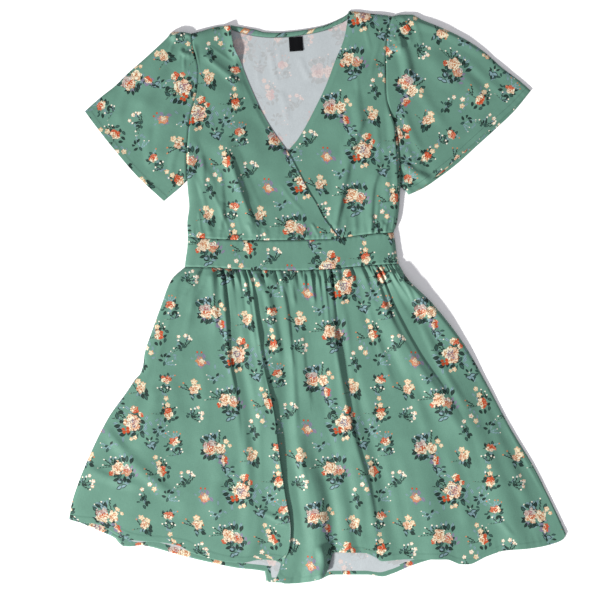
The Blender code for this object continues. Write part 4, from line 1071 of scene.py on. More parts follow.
# The motifs, in the order in which they are laid. Each row is one drawing: what it is, then its place on the
# motif (x, y, size, seed, height for its width), then its colours and numbers, as laid by draw_print
MOTIFS = {
    "fern": [
        ("leaves", (0.3, 0.4, 1, 1), "mist", 9, 1.1, 0.42, 0.16, 0.55),
        ("stems", (-0.1, -1), "mist", "ivory", 13, 2.2, 0.6, 0.1),
        ("leaves", (-0.3, -0.3, 1, 2), "leaf", 7, 0.7, 0.36, 0.17, 0.3),
    ],
    "sprig": [
        ("leaves", (0.1, 0.1), "mist", 11, 0.85, 0.4, 0.15, 0.6),
        ("stems", (-0.2, -0.9), "leaf", "ivory", 13, 2.1, 0.5, 0.15),
        ("leaves", (-0.4, -0.7, 1, 2), "leaf", 7, 0.5, 0.34, 0.15, 0.6),
        ("blossom", (0.75, 0.8, 0.4, 1), "ivory"),
        ("blossom", (-0.3, 1.1, 0.34, 3), "ivory"),
        ("blossom", (1.2, 0.1, 0.34, 2), "ivory"),
    ],
    "twig": [
        ("leaves", (0.3, 0.2, 1, 2), "mist", 13, 1.5, 0.42, 0.16, 0.55),
        ("stems", (-0.4, -1.4), "leaf", "ivory", 15, 3, 0.45, 0.16),
        ("leaves", (-0.7, -1, 1, 3), "leaf", 9, 0.75, 0.36, 0.19, 0.55),
        ("blossom", (0.6, 1.6, 0.46, 1), "ivory"),
        ("blossom", (1.2, 0.7, 0.5, 2)),
        ("blossom", (-0.7, 1, 0.4, 3), "ivory"),
    ],
    "loop": [
        ("stems", (0.3, -0.9), "mist", "ivory", 13, 1.8, 0.5, 0.1),
        ("loops", (0, 0), 3, 0.35, 0.62, 0.34, 0.9),
        ("leaves", (0.2, 0.5, 1, 2), "leaf", 9, 0.9, 0.34, 0.14, 0.5),
    ],
    "small": [
        ("leaves", (0.1, -1.5), "mist", 11, 0.75, 0.42, 0.15, 0.65),
        ("leaves", (0, -0.4, 1, 4), "leaf", 11, 1.2, 0.38, 0.19, 0.65),
        ("stems", (0.1, -2.2, 1, 3), "leaf", "ivory", 13, 1.5, 0.6, 0.14),
        ("stems", (-0.2, 0.5, 1, 5), "mist", "peach", 13, 1.5, 0.4, 0.13),
        ("rose", (0, 0, 0.94, 0.6, 0.8), "cream", "red", 0.9),
    ],
    "double": [
        ("leaves", (0.3, -1.2), "leaf", 7, 0.6, 0.5, 0.25, 0.95),
        ("leaves", (-0.4, -0.3, 1, 1), "mist", 11, 1.2, 0.38, 0.15, 0.6),
        ("stems", (-0.6, -0.8, 1, 1), "leaf", "peach", 13, 1.8, 0.4, 0.15),
        ("blossom", (-0.1, 0.85, 0.66, 0.4, 0.85)),
        ("blossom", (0.65, 0.2, 0.52, 2)),
        ("rose", (0, -0.3, 0.85, 2), "cream", "peach", 0.3),
    ],
    "chain": [
        ("leaves", (-1, -0.5), "mist", 11, 1.2, 0.4, 0.16, 0.65),
        ("leaves", (0.2, -0.7, 1, 4), "leaf", 11, 1.2, 0.38, 0.19, 0.65),
        ("stems", (-1.1, -0.9, 1, 2), "leaf", "peach", 13, 1.9, 0.5, 0.14),
        ("stems", (0.4, 0.2, 1, 3), "leaf", "ivory", 11, 1.4, 0.6, 0.13),
        ("blossom", (-0.3, 1.8, 0.46, 0.2)),
        ("blossom", (0, 0.75, 0.52, 1.4)),
        ("rose", (0.2, -0.6, 0.85, 1.2, 1.2), "cream", "peach", 1),
    ],
    "trumpet": [
        ("leaves", (-0.6, 0.5), "mist", 9, 0.9, 0.4, 0.14, 0.6),
        ("leaves", (0.3, 0), "lavender", 7, 0.7, 0.55, 0.3, 0.8),
        ("leaves", (0, 0.1, 1, 2), "peach", 7, 0.5, 0.42, 0.24, 0.9),
        ("rose", (0.05, -0.1, 0.6, 1, 1.2), "peach_light", "cream", 0.6),
        ("stems", (-0.5, 0.4, 1, 1), "lavender", "red", 11, 1.5, 0.4, 0.16),
    ],
    "posy": [
        ("leaves", (0.3, -0.2), "mist", 17, 2.4, 0.48, 0.22, 0.7),
        ("leaves", (1.2, -0.8, 1, 6), "lavender", 9, 1.5, 0.42, 0.2, 0.6),
        ("stems", (-1.2, 0.4, 1, 4), "leaf", "ivory", 13, 2.6, 0.7, 0.14),
        ("leaves", (0.7, -0.3), "leaf", 17, 1.9, 0.5, 0.25, 0.75),
        ("leaves", (0.1, -0.9, 1, 3), "leaf", 9, 1.4, 0.46, 0.22, 0.65),
        ("loops", (-0.2, -2.4), 5, 0.55, 0.55, 0.32, 0.8),
        ("rose", (0.85, -0.25, 1, 2.2), "lavender", "red", 0.7, "peach"),
        ("rose", (-0.4, 0.25, 1.15, 0.4), "cream", "peach", 0.2),
        ("rose", (-1.45, -0.5, 0.55, 1), "cream", "red", 1),
    ],
    "pair": [
        ("leaves", (0.1, -1.1), "lavender", 9, 1.3, 0.5, 0.24, 0.6),
        ("leaves", (), "mist", 17, 2.4, 0.48, 0.22, 0.7),
        ("stems", (0.7, 0.4, 1, 2), "leaf", "ivory", 13, 2.7, 0.7, 0.14),
        ("leaves", (-0.3, -0.1), "leaf", 17, 2.1, 0.5, 0.25, 0.75),
        ("leaves", (-0.6, -0.7, 1, 3), "leaf", 9, 1.3, 0.42, 0.2, 0.65),
        ("loops", (-0.3, 1.6), 4, 0.42, 0.46, 0.32, 0.9),
        ("rose", (-0.65, 0.1, 1.34, 2.6), "peach_light", "red", 0.5, "lavender"),
        ("rose", (0.95, -0.15, 0.98, 1, 1.1), "cream", "peach", 0),
        ("blossom", (2, 0.9, 0.5, 1)),
        ("blossom", (2.5, 0.2, 0.4, 2)),
        ("leaves", (1.5, -2.2, 1, 2), "lavender", 5, 0.6, 0.34, 0.2, 0.8),
        ("rose", (1.5, -2.1, 0.62, 1, 1.4), "peach_light", "red", 1),
    ],
    "round": [
        ("leaves", (0.2, -0.2, 1, 7), "mist", 17, 2.4, 0.48, 0.22, 0.65),
        ("leaves", (1.2, -1), "mist", 13, 1.4, 0.44, 0.18, 0.75),
        ("leaves", (-1, 1.3, 1, 5), "mist", 8, 0.8, 0.5, 0.13, 0.6),
        ("stems", (-0.9, 0.3, 1, 3), "leaf", "leaf", 13, 2.9, 0.75, 0.08),
        ("leaves", (-0.3, 0), "leaf", 17, 1.95, 0.5, 0.26, 0.72),
        ("leaves", (1.2, -1.5, 1, 2), "leaf", 8, 0.8, 0.5, 0.24, 0.75),
        ("rose", (0, 0, 1.62, 1.2), "cream", "lavender", 0.3),
        ("berries", (-0.95, -1.15), 5, 0.42, 0.34),
        ("rose", (0.3, 2.2, 0.86, 0.8, 0.85), "cream", "peach", 1),
        ("rose", (1.35, 1.5, 0.5, 1.4), "cream", "peach", 1),
        ("blossom", (0.7, -2.3, 0.44, 1)),
        ("blossom", (0.1, -2.6, 0.36, 2)),
    ],
}
RIPPLE_SCALE, FINE_SCALE = 160.0, 480.0  # unevenness of the drawn shapes, in waves a metre
MOTIF_UNIT = 10.0  # millimetres for each unit of a motif


# In the drawings, lengths are in units of a motif, and noise runs from 0 to 1 round 0.5


def draw_nearest(sums, cloth_x, cloth_y, centre_x, centre_y, angle, old_x, old_y, old_seed):
    """Place on a motif, repeated in a half drop, where it is nearer than the one found before."""
    x, y = sums.less(cloth_x, centre_x), sums.less(cloth_y, centre_y)
    column = sums.math("ROUND", sums.times(x, 1 / REPEAT_WIDE))
    x = sums.fused(column, -REPEAT_WIDE, x)
    y = sums.fused(column, -REPEAT_TALL / 2, y)
    row = sums.math("ROUND", sums.times(y, 1 / REPEAT_TALL))
    y = sums.fused(row, -REPEAT_TALL, y)
    x, y = sums.turned(x, y, angle)
    x, y = sums.times(x, 1 / MOTIF_UNIT), sums.times(y, 1 / MOTIF_UNIT)
    nearer = sums.math("LESS_THAN", sums.both(x, x, y, y), sums.both(old_x, old_x, old_y, old_y))
    seed = sums.times(centre_x, SEED_STEP)
    return [sums.fused(nearer, sums.less(new, old), old)
            for new, old in ((x, old_x), (y, old_y), (seed, old_seed))]


def draw_rose(sums, x, y, seed, ripple, fine, body, light, shade, heart, accent, amount):
    """A full rose of radius 1: rings of lobed petals, drawn lines, a heart, and strong petals at one side."""
    far = sums.length(x, y)
    angle = sums.math("ARCTAN2", y, x)
    lobes = sums.size(sums.sine(sums.fused(angle, 2.5, seed)))
    outline = sums.fused(lobes, 0.2, sums.fused(ripple, 0.8, 0.555))
    outline = sums.fused(fine, 0.5, sums.less(outline, 0.1))
    mask = sums.sharp(sums.less(outline, far), EDGE)
    reach = sums.fused(far, 2.5, sums.times(ripple, 2.6))
    ring = sums.math("FLOOR", reach)
    petal = sums.fused(angle, 1.5, sums.fused(ring, 1.9, sums.times(ripple, 2.0)))
    lobe = sums.size(sums.sine(sums.add(petal, seed)))
    rise = sums.math("FRACT", sums.fused(lobe, -0.6, reach))
    lines = sums.most(sums.ramp(rise, 0.38, 0.24), sums.ramp(lobe, 0.3, 0.16))
    lines = sums.times(lines, sums.ramp(fine, 0.36, 0.44))
    colour = sums.mix(sums.ramp(rise, 0.3, 0.95), body, light)
    colour = sums.mix(sums.times(lines, 0.95), colour, shade)
    middle = sums.ramp(sums.add(far, sums.times(ripple, 1.2)), 0.46, 0.36)
    colour = sums.mix(sums.times(middle, sums.ramp(fine, 0.44, 0.52)), colour, heart)
    side = sums.both(x, sums.cosine(seed), y, sums.sine(seed))
    coloured = sums.ramp(sums.fused(ripple, 1.3, side), 0.06, 0.13)
    coloured = sums.times(coloured, sums.ramp(sums.fused(fine, -0.5, rise), 0.74, 0.64))
    colour = sums.mix(sums.times(coloured, amount), colour, accent)
    strokes = sums.most(sums.ramp(rise, 0.22, 0.12), sums.ramp(lobe, 0.16, 0.08))
    strokes = sums.times(strokes, sums.ramp(fine, 0.47, 0.55))
    return [sums.mix(sums.times(strokes, 0.85), colour, OUTLINE), mask]


def draw_leaves(sums, x, y, seed, count, reach, length, width, kept):
    """A ring of pointed leaves at uneven angles: shape, midribs, inner part, and which are pale there."""
    far, turn, number = sums.spokes(x, y, count)
    first, second, third = sums.chance(number, seed, count)
    off = sums.less(sums.less(turn, number), sums.fused(second, 0.3, 0.35))
    angle = sums.math("DIVIDE", sums.times(off, 2 * np.pi), count)
    root = sums.times(reach, sums.fused(first, 0.6, 0.62))
    out = sums.less(sums.times(far, sums.cosine(angle)), root)
    aside = sums.times(far, sums.sine(angle))
    a, b = sums.turned(out, aside, sums.fused(third, 2.2, -1.1))
    a, b = sums.math("DIVIDE", a, length), sums.math("DIVIDE", b, width)
    b = sums.fused(sums.times(a, a), 0.25, b)
    edge = sums.less(sums.fused(sums.times(a, a), -1.0, 1.0), sums.size(b))
    mask = sums.sharp(edge, LEAF_EDGE)
    bunch = sums.sine(sums.both(number, sums.math("DIVIDE", 4 * np.pi, count), seed, 9.0))
    kept = sums.fused(bunch, LEAF_BUNCHING, kept)
    here = sums.math("GREATER_THAN", kept, sums.math("FRACT", sums.times(sums.add(first, third), 7.3)))
    rib = sums.ramp(sums.size(b), 0.3, 0.1)
    inner = sums.ramp(edge, 0.3, 0.5)
    pale = sums.times(inner, sums.math("GREATER_THAN", second, 1 - PALE_LEAVES))
    return [sums.times(mask, here), rib, inner, pale]


def draw_spray(sums, x, y, seed, count, reach, kept, dot):
    """Thin stems from one root, beaded with leaves, with a small round bud at each tip: stems and buds."""
    far, turn, number = sums.spokes(x, y, count)
    first, second, third = sums.chance(number, seed, 3.0)
    bend = sums.times(sums.less(first, 0.5), sums.times(far, 0.5))
    off = sums.less(sums.add(sums.less(turn, number), bend), sums.fused(second, 0.2, 0.4))
    aside = sums.times(sums.math("DIVIDE", sums.times(off, 2 * np.pi), count), far)
    tip = sums.times(reach, sums.fused(third, 0.45, 0.6))
    short = sums.less(tip, far)
    wide = sums.size(aside)
    stem = sums.times(sums.ramp(wide, 0.07, 0.03), sums.ramp(short, 0.0, 0.05))
    beads = sums.math("FRACT", sums.fused(aside, -1.6, sums.times(far, 2.1)))
    side_leaf = sums.less(sums.less(0.3, sums.size(sums.less(beads, 0.5))), sums.times(wide, 1.1))
    side_leaf = sums.times(sums.ramp(side_leaf, 0.0, 0.05), sums.ramp(short, 0.1, 0.15))
    here = sums.times(sums.math("GREATER_THAN", kept, first), sums.ramp(y, -0.1, 0.1))
    bud = sums.sharp(sums.less(dot, sums.length(short, aside)), EDGE * 0.6)
    return [sums.times(sums.most(stem, side_leaf), here), sums.times(bud, here)]


def draw_blossom(sums, x, y, seed, fine, body, heart):
    """A small open flower of five petals."""
    angle = sums.fused(sums.math("ARCTAN2", y, x), 2.5, seed)
    ragged = sums.fused(fine, 0.9, 0.17)
    edge = sums.fused(sums.size(sums.cosine(angle)), 0.26, ragged)
    mask = sums.sharp(sums.less(edge, sums.length(x, y)), EDGE * 0.5)
    return [sums.mix(sums.times(sums.ramp(fine, 0.52, 0.58), 0.85), body, heart), mask]


def opaque(colour, by=1.0):
    """Four numbers of a colour, made darker or lighter by a factor."""
    return (*[by * part for part in colour], 1.0)


INKS = ("cream", "light", "peach_light", "peach", "red", "lavender", "leaf", "rib", "mist", "ivory")
COLOURED = {"Colour": "colour", "Shape": "value"}


def number_sockets(names):
    """Sockets of a group that take or give a number, from their names."""
    return {name: "value" for name in names.split(", ")}


def colour_sockets(names):
    """The same for colours."""
    return {name: "colour" for name in names.split(", ")}


def print_parts():
    """The small drawings that the motifs are put together from."""
    place = number_sockets("X, Y, Seed")
    heads = colour_sockets("Body, Light, Shade, Heart, Accent")
    rose = place | number_sockets("Ripple, Fine") | heads | number_sockets("Amount")
    leaves = place | number_sockets("Count, Reach, Length, Width, Kept")
    spray = place | number_sockets("Count, Reach, Kept, Dot")
    blossom = place | number_sockets("Fine") | colour_sockets("Body, Heart")
    nearest = number_sockets("Cloth X, Cloth Y, Centre X, Centre Y, Turn, Old X, Old Y, Old Seed")
    return (
        make_group("Rose", rose, COLOURED, draw_rose),
        make_group("Leaves", leaves, number_sockets("Shape, Rib, Inner, Pale"), draw_leaves),
        make_group("Spray", spray, number_sockets("Stems, Buds"), draw_spray),
        make_group("Blossom", blossom, COLOURED, draw_blossom),
        make_group("Nearest", nearest, place, draw_nearest),
    )


def draw_print(sums, cloth_x, cloth_y, ripple, fine):
    """The whole repeat on the flat cloth, in millimetres: ink colour and where there is ink."""
    ink = {name: opaque(getattr(bpy.context.scene.dress_colours, name)) for name in INKS}
    rose, leaves, spray, blossom, nearest = print_parts()
    colour, cover = ink["leaf"], 0.0

    def lay(new_colour, shape):
        nonlocal colour, cover
        colour = sums.mix(shape, colour, new_colour)
        cover = sums.most(cover, shape)

    def place_of(kind):
        x, y, seed = FAR, FAR, 0.0
        for centre_x, centre_y, turn in CHART[kind]:
            near = sums.use(nearest, **{
                "Cloth X": cloth_x, "Cloth Y": cloth_y, "Centre X": centre_x, "Centre Y": centre_y,
                "Turn": np.radians(turn), "Old X": x, "Old Y": y, "Old Seed": seed,
            })
            x, y, seed = near["X"], near["Y"], near["Seed"]
        return {"X": x, "Y": y, "Seed": seed}

    def moved(place, x, y, size=1.0, tag=0.0, tall=1.0):
        high = size * tall
        return {
            "X": sums.fused(place["X"], 1 / size, -x / size),
            "Y": sums.fused(place["Y"], 1 / high, -y / high),
            "Seed": sums.add(place["Seed"], tag),
        }

    def leaf_ring(place, tone, count, reach, length, width, kept):
        long, wide, more = next((row for name, *row in LEAF_CHANGES if ink[name] == tone), (1.0, 1.0, 0.0))
        made = sums.use(leaves, **place, Count=count, Reach=reach, Length=length * long, Width=width * wide,
                        Kept=kept + more)
        if tone == ink["leaf"]:
            inside = sums.most(sums.times(made["Rib"], 0.3), sums.times(made["Pale"], 0.8))
            lay(sums.mix(inside, tone, ink["rib"]), made["Shape"])
        else:
            ribs = sums.times(made["Rib"], 0.75 if tone == ink["mist"] else 0.2)
            lay(sums.mix(ribs, tone, ink["leaf"]), made["Shape"])

    def leaf_loops(place, count, reach, length, width, kept):
        made = sums.use(leaves, **place, Count=count, Reach=reach, Length=length, Width=width, Kept=kept)
        lay(sums.mix(sums.times(made["Inner"], 0.9), ink["leaf"], ink["mist"]), made["Shape"])

    def stems(place, tone, tips, count, reach, kept, dot):
        made = sums.use(spray, **place, Count=count, Reach=reach, Kept=kept, Dot=dot)
        lay(tone, made["Stems"])
        lay(tips, made["Buds"])

    def rose_at(place, body, heart, amount, accent=ink["red"]):
        made = sums.use(rose, **place, Ripple=ripple, Fine=fine, Body=body, Light=ink["light"],
                        Shade=ink["peach"], Heart=heart, Accent=accent, Amount=amount)
        lay(made["Colour"], made["Shape"])

    def blossom_at(place, body=ink["cream"], heart=ink["peach"]):
        made = sums.use(blossom, **place, Fine=fine, Body=body, Heart=heart)
        lay(made["Colour"], made["Shape"])

    def berries(place, count, reach, size):
        leaf_ring(place, ink["red"], count, reach, size, size * 0.85, 0.9)

    drawings = {
        "leaves": leaf_ring, "loops": leaf_loops, "stems": stems, "rose": rose_at, "blossom": blossom_at,
        "berries": berries,
    }
    for kind, rows in MOTIFS.items():
        place = place_of(kind)
        for what, at, *given in rows:
            given = [ink[value] if isinstance(value, str) else value for value in given]
            drawings[what](moved(place, *at) if at else place, *given)
    return [colour, cover]


def draw_weave(sums, cloth, thread):
    """Fine woven threads with small slubs: relief, and lighter and darker threads."""
    across = sums.vector("MULTIPLY", cloth, (1.0, SLUB_THIN, 1.0))
    down = sums.vector("MULTIPLY", cloth, (SLUB_THIN, 1.0, 1.0))
    slubs = sums.add(sums.noise(across, SLUB_SCALE, 1.0), sums.noise(down, SLUB_SCALE, 1.0))
    x, y, _ = sums.split(sums.vector("SCALE", cloth, scale=sums.math("DIVIDE", 2 * np.pi, thread)))
    relief = sums.fused(sums.times(sums.sine(x), sums.sine(y)), 0.3, slubs)
    return [relief, sums.ramp(slubs, 0.6, 1.4)]


def draw_sewing(sums, seams, stitch, hem):
    """A row of stitches inside a hem: where there is thread, and the groove it lies in, which the finish both
    sinks and darkens with painted shade.
    """
    run, gap, _ = sums.split(seams)
    aside = sums.size(sums.less(gap, hem))
    step = sums.math("FRACT", sums.math("DIVIDE", run, stitch))
    dash = sums.ramp(sums.size(sums.less(step, 0.5)), 0.42, 0.34)
    thread = sums.times(sums.ramp(aside, STITCH_HALF, 0.2), dash)
    seam = sums.ramp(sums.less(gap, hem), 0.3, 0.42)
    return [thread, sums.times(sums.ramp(aside, 1.1, 0.2), seam)]


def uv_in_mm(sums, name):
    """The piece's own coordinates, in millimetres."""
    made = sums.node("ShaderNodeUVMap", uv_map=name)
    return sums.vector("SCALE", made.outputs[0], scale=1 / MM)


def new_finish(name, **settings):
    """An empty material with its shader's settings, and a way to put nodes into it."""
    finish = bpy.data.materials.new(name)
    finish.use_nodes = True
    shader = finish.node_tree.nodes["Principled BSDF"]
    for label, value in settings.items():
        shader.inputs[label.replace("_", " ")].default_value = value
    return finish, shader, Sums(finish.node_tree)


def add_bump(sums, shader, height, strength, distance):
    """Lets a height, in units of the distance, tilt the surface."""
    bump = sums.node("ShaderNodeBump")
    for label, value in (("Strength", strength), ("Distance", distance), ("Height", height)):
        sums.feed(bump.inputs[label], value)
    sums.feed(shader.inputs["Normal"], bump.outputs[0])


def cloth_finish(name, reverse):
    """Printed cloth seen from its print side, or from its pale reverse where the ink shows through."""
    if name in bpy.data.materials:
        return bpy.data.materials[name]
    settings, tints = bpy.context.scene.dress_cloth, bpy.context.scene.dress_colours
    finish, shader, sums = new_finish(name, Specular_IOR_Level=0.25, Sheen_Weight=0.05, Sheen_Roughness=0.4)
    flat = sums.node("ShaderNodeUVMap", uv_map="Cloth").outputs[0]
    ripple = sums.less(sums.noise(flat, RIPPLE_SCALE, 1.0), 0.5)
    fine = sums.noise(flat, FINE_SCALE, 1.0)
    cloth = uv_in_mm(sums, "Cloth")
    across, up, _ = sums.split(cloth)
    gives = colour_sockets("Colour") | number_sockets("Cover")
    takes = number_sockets("Across, Up, Ripple, Fine")
    group = make_group("Print", takes, gives, draw_print)
    ink = sums.use(group, Across=across, Up=up, Ripple=ripple, Fine=fine)
    takes, gives = {"Cloth": "vector"} | number_sockets("Thread"), number_sockets("Relief, Tone")
    weave = sums.use(make_group("Weave", takes, gives, draw_weave), Cloth=cloth, Thread=settings.thread / MM)
    takes, gives = {"Seams": "vector"} | number_sockets("Stitch, Hem"), number_sockets("Thread, Groove")
    group = make_group("Sewing", takes, gives, draw_sewing)
    seams, stitch = uv_in_mm(sums, "Seams"), settings.stitch / MM
    sewing = sums.use(group, Seams=seams, Stitch=stitch, Hem=HEM_FOLD - STITCH_INSIDE)
    patches = sums.ramp(sums.noise(cloth, PATCH_SCALE, 3.0), 0.3, 0.7)
    dye = tints.reverse if reverse else tints.ground
    ground = sums.mix(patches, opaque(dye, PATCH_DARK), opaque(dye))
    seen, strength = ink["Colour"], 1.0
    if reverse:
        seen = sums.mix(GHOST_WHITE, sums.shaded(seen, opaque(tints.ghost)), WHITE)
        strength = settings.show_through
    colour = sums.mix(sums.times(ink["Cover"], strength), ground, seen)
    colour = sums.shaded(colour, sums.mix(sums.times(weave["Tone"], THREAD_DARK), WHITE, BLACK))
    # painted shade: the grooves of seams and stitch rows are darkened in the colour
    colour = sums.mix(sums.times(sewing["Groove"], GROOVE_PAINTED_SHADE), colour, GROOVE_SHADE_COLOUR)
    colour = sums.mix(sums.times(sewing["Thread"], STITCH_COVER), colour, opaque(tints.thread))
    sums.feed(shader.inputs["Base Color"], colour)
    sums.feed(shader.inputs["Roughness"], sums.fused(weave["Tone"], ROUGHER, ROUGHNESS))
    crumple = sums.noise(sums.vector("MULTIPLY", cloth, CRUMPLE_STRETCH), CRUMPLE_SCALE, 3.0, 0.6)
    height = sums.fused(weave["Relief"], WEAVE_HIGH, sums.times(crumple, CRUMPLE_HIGH))
    height = sums.fused(sewing["Thread"], STITCH_HIGH, sums.fused(sewing["Groove"], -GROOVE_DEEP, height))
    add_bump(sums, shader, height, 0.8, MM)
    return finish


def label_finish():
    """Dark satin label tape with a fine rib across it."""
    tint = bpy.context.scene.dress_colours.label
    finish, shader, sums = new_finish("Label tape", Specular_IOR_Level=0.05)
    cloth = uv_in_mm(sums, "Cloth")
    _, y, _ = sums.split(cloth)
    rib = sums.sine(sums.times(y, 2 * np.pi / LABEL_RIB))
    slub = sums.noise(sums.vector("MULTIPLY", cloth, (0.2, 2.0, 1.0)), 1.6, 2.0)
    sums.feed(shader.inputs["Base Color"], sums.mix(slub, opaque(tint, 0.6), opaque(tint, 1.7)))
    sums.feed(shader.inputs["Roughness"], sums.fused(slub, 0.1, 0.75))
    add_bump(sums, shader, sums.add(rib, slub), 0.5, LABEL_RELIEF * MM)
    return finish


def both_faces():
    """Finishes of a shell: print outside, pale reverse inside, and print on both where a hem is turned."""
    outside, inside = cloth_finish("Printed cloth", False), cloth_finish("Printed cloth reverse", True)
    return [outside, inside, outside, outside]


def make_cloth(name, points, lay, seams, **more):
    """A piece of printed cloth of the set thickness, print side up."""
    return make_shell(name, points, lay, seams, bpy.context.scene.dress_cloth.wall, both_faces(), **more)


def make_back(name, points, lay, **more):
    """A back piece: its print side lies on the floor and its pale inside is up."""
    return make_shell(name, points, lay, no_hem(points), BACK_TOP * MM, both_faces(), face_down=True, **more)


# ---- settings ----


def size_setting(name, description, default, low, high):
    return FloatProperty(name=name, description=description, default=default * MM, min=low * MM,
                         max=high * MM, unit="LENGTH", precision=5)


def colour_setting(name, description, default):
    return FloatVectorProperty(name=name, description=description, default=default, size=3, min=0.0, max=1.0,
                               subtype="COLOR")


class DressCloth(PropertyGroup):
    """Sizes of the cloth and its sewing."""

    wall: size_setting("Cloth wall", "Thickness of each cloth shell", 0.8, 0.3, 2.0)
    thread: size_setting("Thread pitch", "Distance between two threads of the weave", 0.42, 0.1, 2.0)
    stitch: size_setting("Stitch length", "Length of one stitch and the gap after it", 3.0, 1.0, 8.0)
    show_through: FloatProperty(name="Ink showing through", description="Strength of print on the reverse",
                                default=0.5, min=0.0, max=1.0, subtype="FACTOR")


class DressColours(PropertyGroup):
    """Colours of the cloth, its print, the thread and the label."""

    ground: colour_setting("Ground", "Dyed ground of the print side", (0.098, 0.219, 0.166))
    reverse: colour_setting("Reverse", "Pale inside of the cloth", (0.4, 0.44, 0.46))
    ghost: colour_setting("Ghost", "Tint of the print where it shows through the cloth", (0.93, 0.56, 0.56))
    cream: colour_setting("Cream petal", "Body of the pale roses and blossoms", (0.615, 0.55, 0.38))
    light: colour_setting("Petal light", "Lightest edge of a petal", (0.67, 0.66, 0.52))
    peach_light: colour_setting("Peach petal", "Body of the warm roses", (0.5, 0.37, 0.24))
    peach: colour_setting("Salmon line", "Drawn lines and warm shading of the petals", (0.44, 0.185, 0.08))
    red: colour_setting("Red petal", "Strongest petals, buds and berries", (0.42, 0.055, 0.01))
    lavender: colour_setting("Lavender", "Grey-violet hearts and small leaves", (0.17, 0.165, 0.235))
    leaf: colour_setting("Dark leaf", "Leaves and stems", (0.003, 0.015, 0.011))
    rib: colour_setting("Leaf rib", "Midribs of the leaves", (0.03, 0.09, 0.075))
    mist: colour_setting("Blue-grey leaf", "Faint leaves behind the flowers", (0.17, 0.28, 0.31))
    ivory: colour_setting("Ivory bud", "Smallest buds", (0.68, 0.65, 0.54))
    thread: colour_setting("Sewing thread", "Thread of the hem stitches", (0.06, 0.14, 0.11))
    label: colour_setting("Label", "Label tape", (0.004, 0.0042, 0.005))


class DressStage(PropertyGroup):
    """The studio round the garment."""

    floor: colour_setting("Floor", "Pale studio floor", (0.93, 0.93, 0.945))
    key: FloatProperty(name="Key light", description="Power of the one lamp", default=790.0, min=0.0,
                       unit="POWER")
    fill: FloatProperty(name="Fill light", description="Strength of the light all round", default=0.55,
                        min=0.0)
    lens: FloatProperty(name="Lens", description="Focal length of the camera", default=85.0, min=10.0,
                        subtype="DISTANCE_CAMERA")
    view_width: FloatProperty(name="View width", description="Width of floor in the picture", default=0.96,
                              min=0.1, unit="LENGTH")


# ---- pieces ----


class DRESS_OT_back_bodice(Operator):
    """Make the back bodice, whose pale inside shows in the neck opening"""

    bl_idname = "dress.back_bodice"
    bl_label = "Back Bodice"
    bl_options = {"REGISTER", "UNDO"}

    def execute(self, context):
        neckline = LEFT_SHOULDER + BACK_NECK_IN + RIGHT_SHOULDER
        x, y = patch(LEFT_SIDE, RIGHT_SIDE, neckline, WAIST_TOP, crowded(BACK_ROWS), crowded(BACK_COLUMNS))
        from_under, from_over = through(UNDER_EDGE, y) - x, x - through(OVER_EDGE, y)
        open_neck = eased(from_under / BACK_CREASE_EASE) * eased(from_over / BACK_CREASE_EASE)
        z = FLOOR_CLEAR + fold_heights(x, y, BACK_CREASES) * open_neck
        points = np.stack([x, y, z], axis=-1)
        lay = cloth_lay(points, BACK_COLUMNS // 2, CUT_FROM["back_bodice"])
        piece = make_back("back_bodice_cloth", points, lay)
        settle(piece, "back_bodice")
        return {"FINISHED"}


class DRESS_OT_neck_trim(Operator):
    """Make the binding of the back neckline and the bare label under it"""

    bl_idname = "dress.neck_trim"
    bl_label = "Neck Binding and Label"
    bl_options = {"REGISTER", "UNDO"}

    def execute(self, context):
        share = crowded(BINDING_COLUMNS)
        outer, inner = along(BINDING_OUT, share), along(BINDING_IN, share)
        t = np.linspace(0, 1, BINDING_ROWS)[:, None]
        x = outer[:, 0] * (1 - t) + inner[:, 0] * t
        y = outer[:, 1] * (1 - t) + inner[:, 1] * t
        bulge = np.sqrt(np.clip(1 - (2 * t - 1) ** 2, 0, 1)) ** BINDING_ROUND
        z = BINDING_LOW + BINDING_RISE * bulge + BINDING_RIPPLE * np.sin(x * BINDING_WAVE)
        run = run_along(x, y)
        cut_x = run * np.cos(BINDING_BIAS) + t * BINDING_FACE
        cut_y = run * np.sin(BINDING_BIAS) + BINDING_CUT[1] + t * BINDING_CUT[0]
        gap = HEM_FOLD - BINDING_SEAM + (1 - t) * BINDING_FACE
        seams = np.stack(np.broadcast_arrays(run, gap), axis=-1)
        points, lay = np.stack([x, y, z], axis=-1), np.stack([cut_x, cut_y], axis=-1)
        piece = make_shell("back_neck_binding_cloth", points, lay, seams, BINDING_WALL * MM, both_faces())
        settle(piece, "back_neck_binding")
        half_w, half_l = LABEL_SIZE[0] / 2, LABEL_SIZE[1] / 2
        u, v = np.linspace(-half_w, half_w, LABEL_POINTS), np.linspace(half_l, -half_l, LABEL_POINTS)
        u, v = np.meshgrid(u, v)
        c, s = np.cos(LABEL_TURN), np.sin(LABEL_TURN)
        x, y = LABEL_CENTRE[0] + u * c - v * s, LABEL_CENTRE[1] + u * s + v * c
        curl = LABEL_CURL * eased(-v / half_l) * (1 + LABEL_WAVE * np.sin(u * LABEL_WAVE_RATE))
        lift = LABEL_LIFT + curl + LABEL_RIPPLE * np.sin(u * LABEL_RIPPLE_RATE)
        points = np.stack([x, y, BACK_TOP + lift], axis=-1)
        tape, lay = label_finish(), np.stack([u, v], axis=-1)
        label = make_shell("neck_label_tape", points, lay, no_hem(points), LABEL_WALL * MM, [tape, tape])
        settle(label, "neck_label", slot="label_cloth")
        return {"FINISHED"}


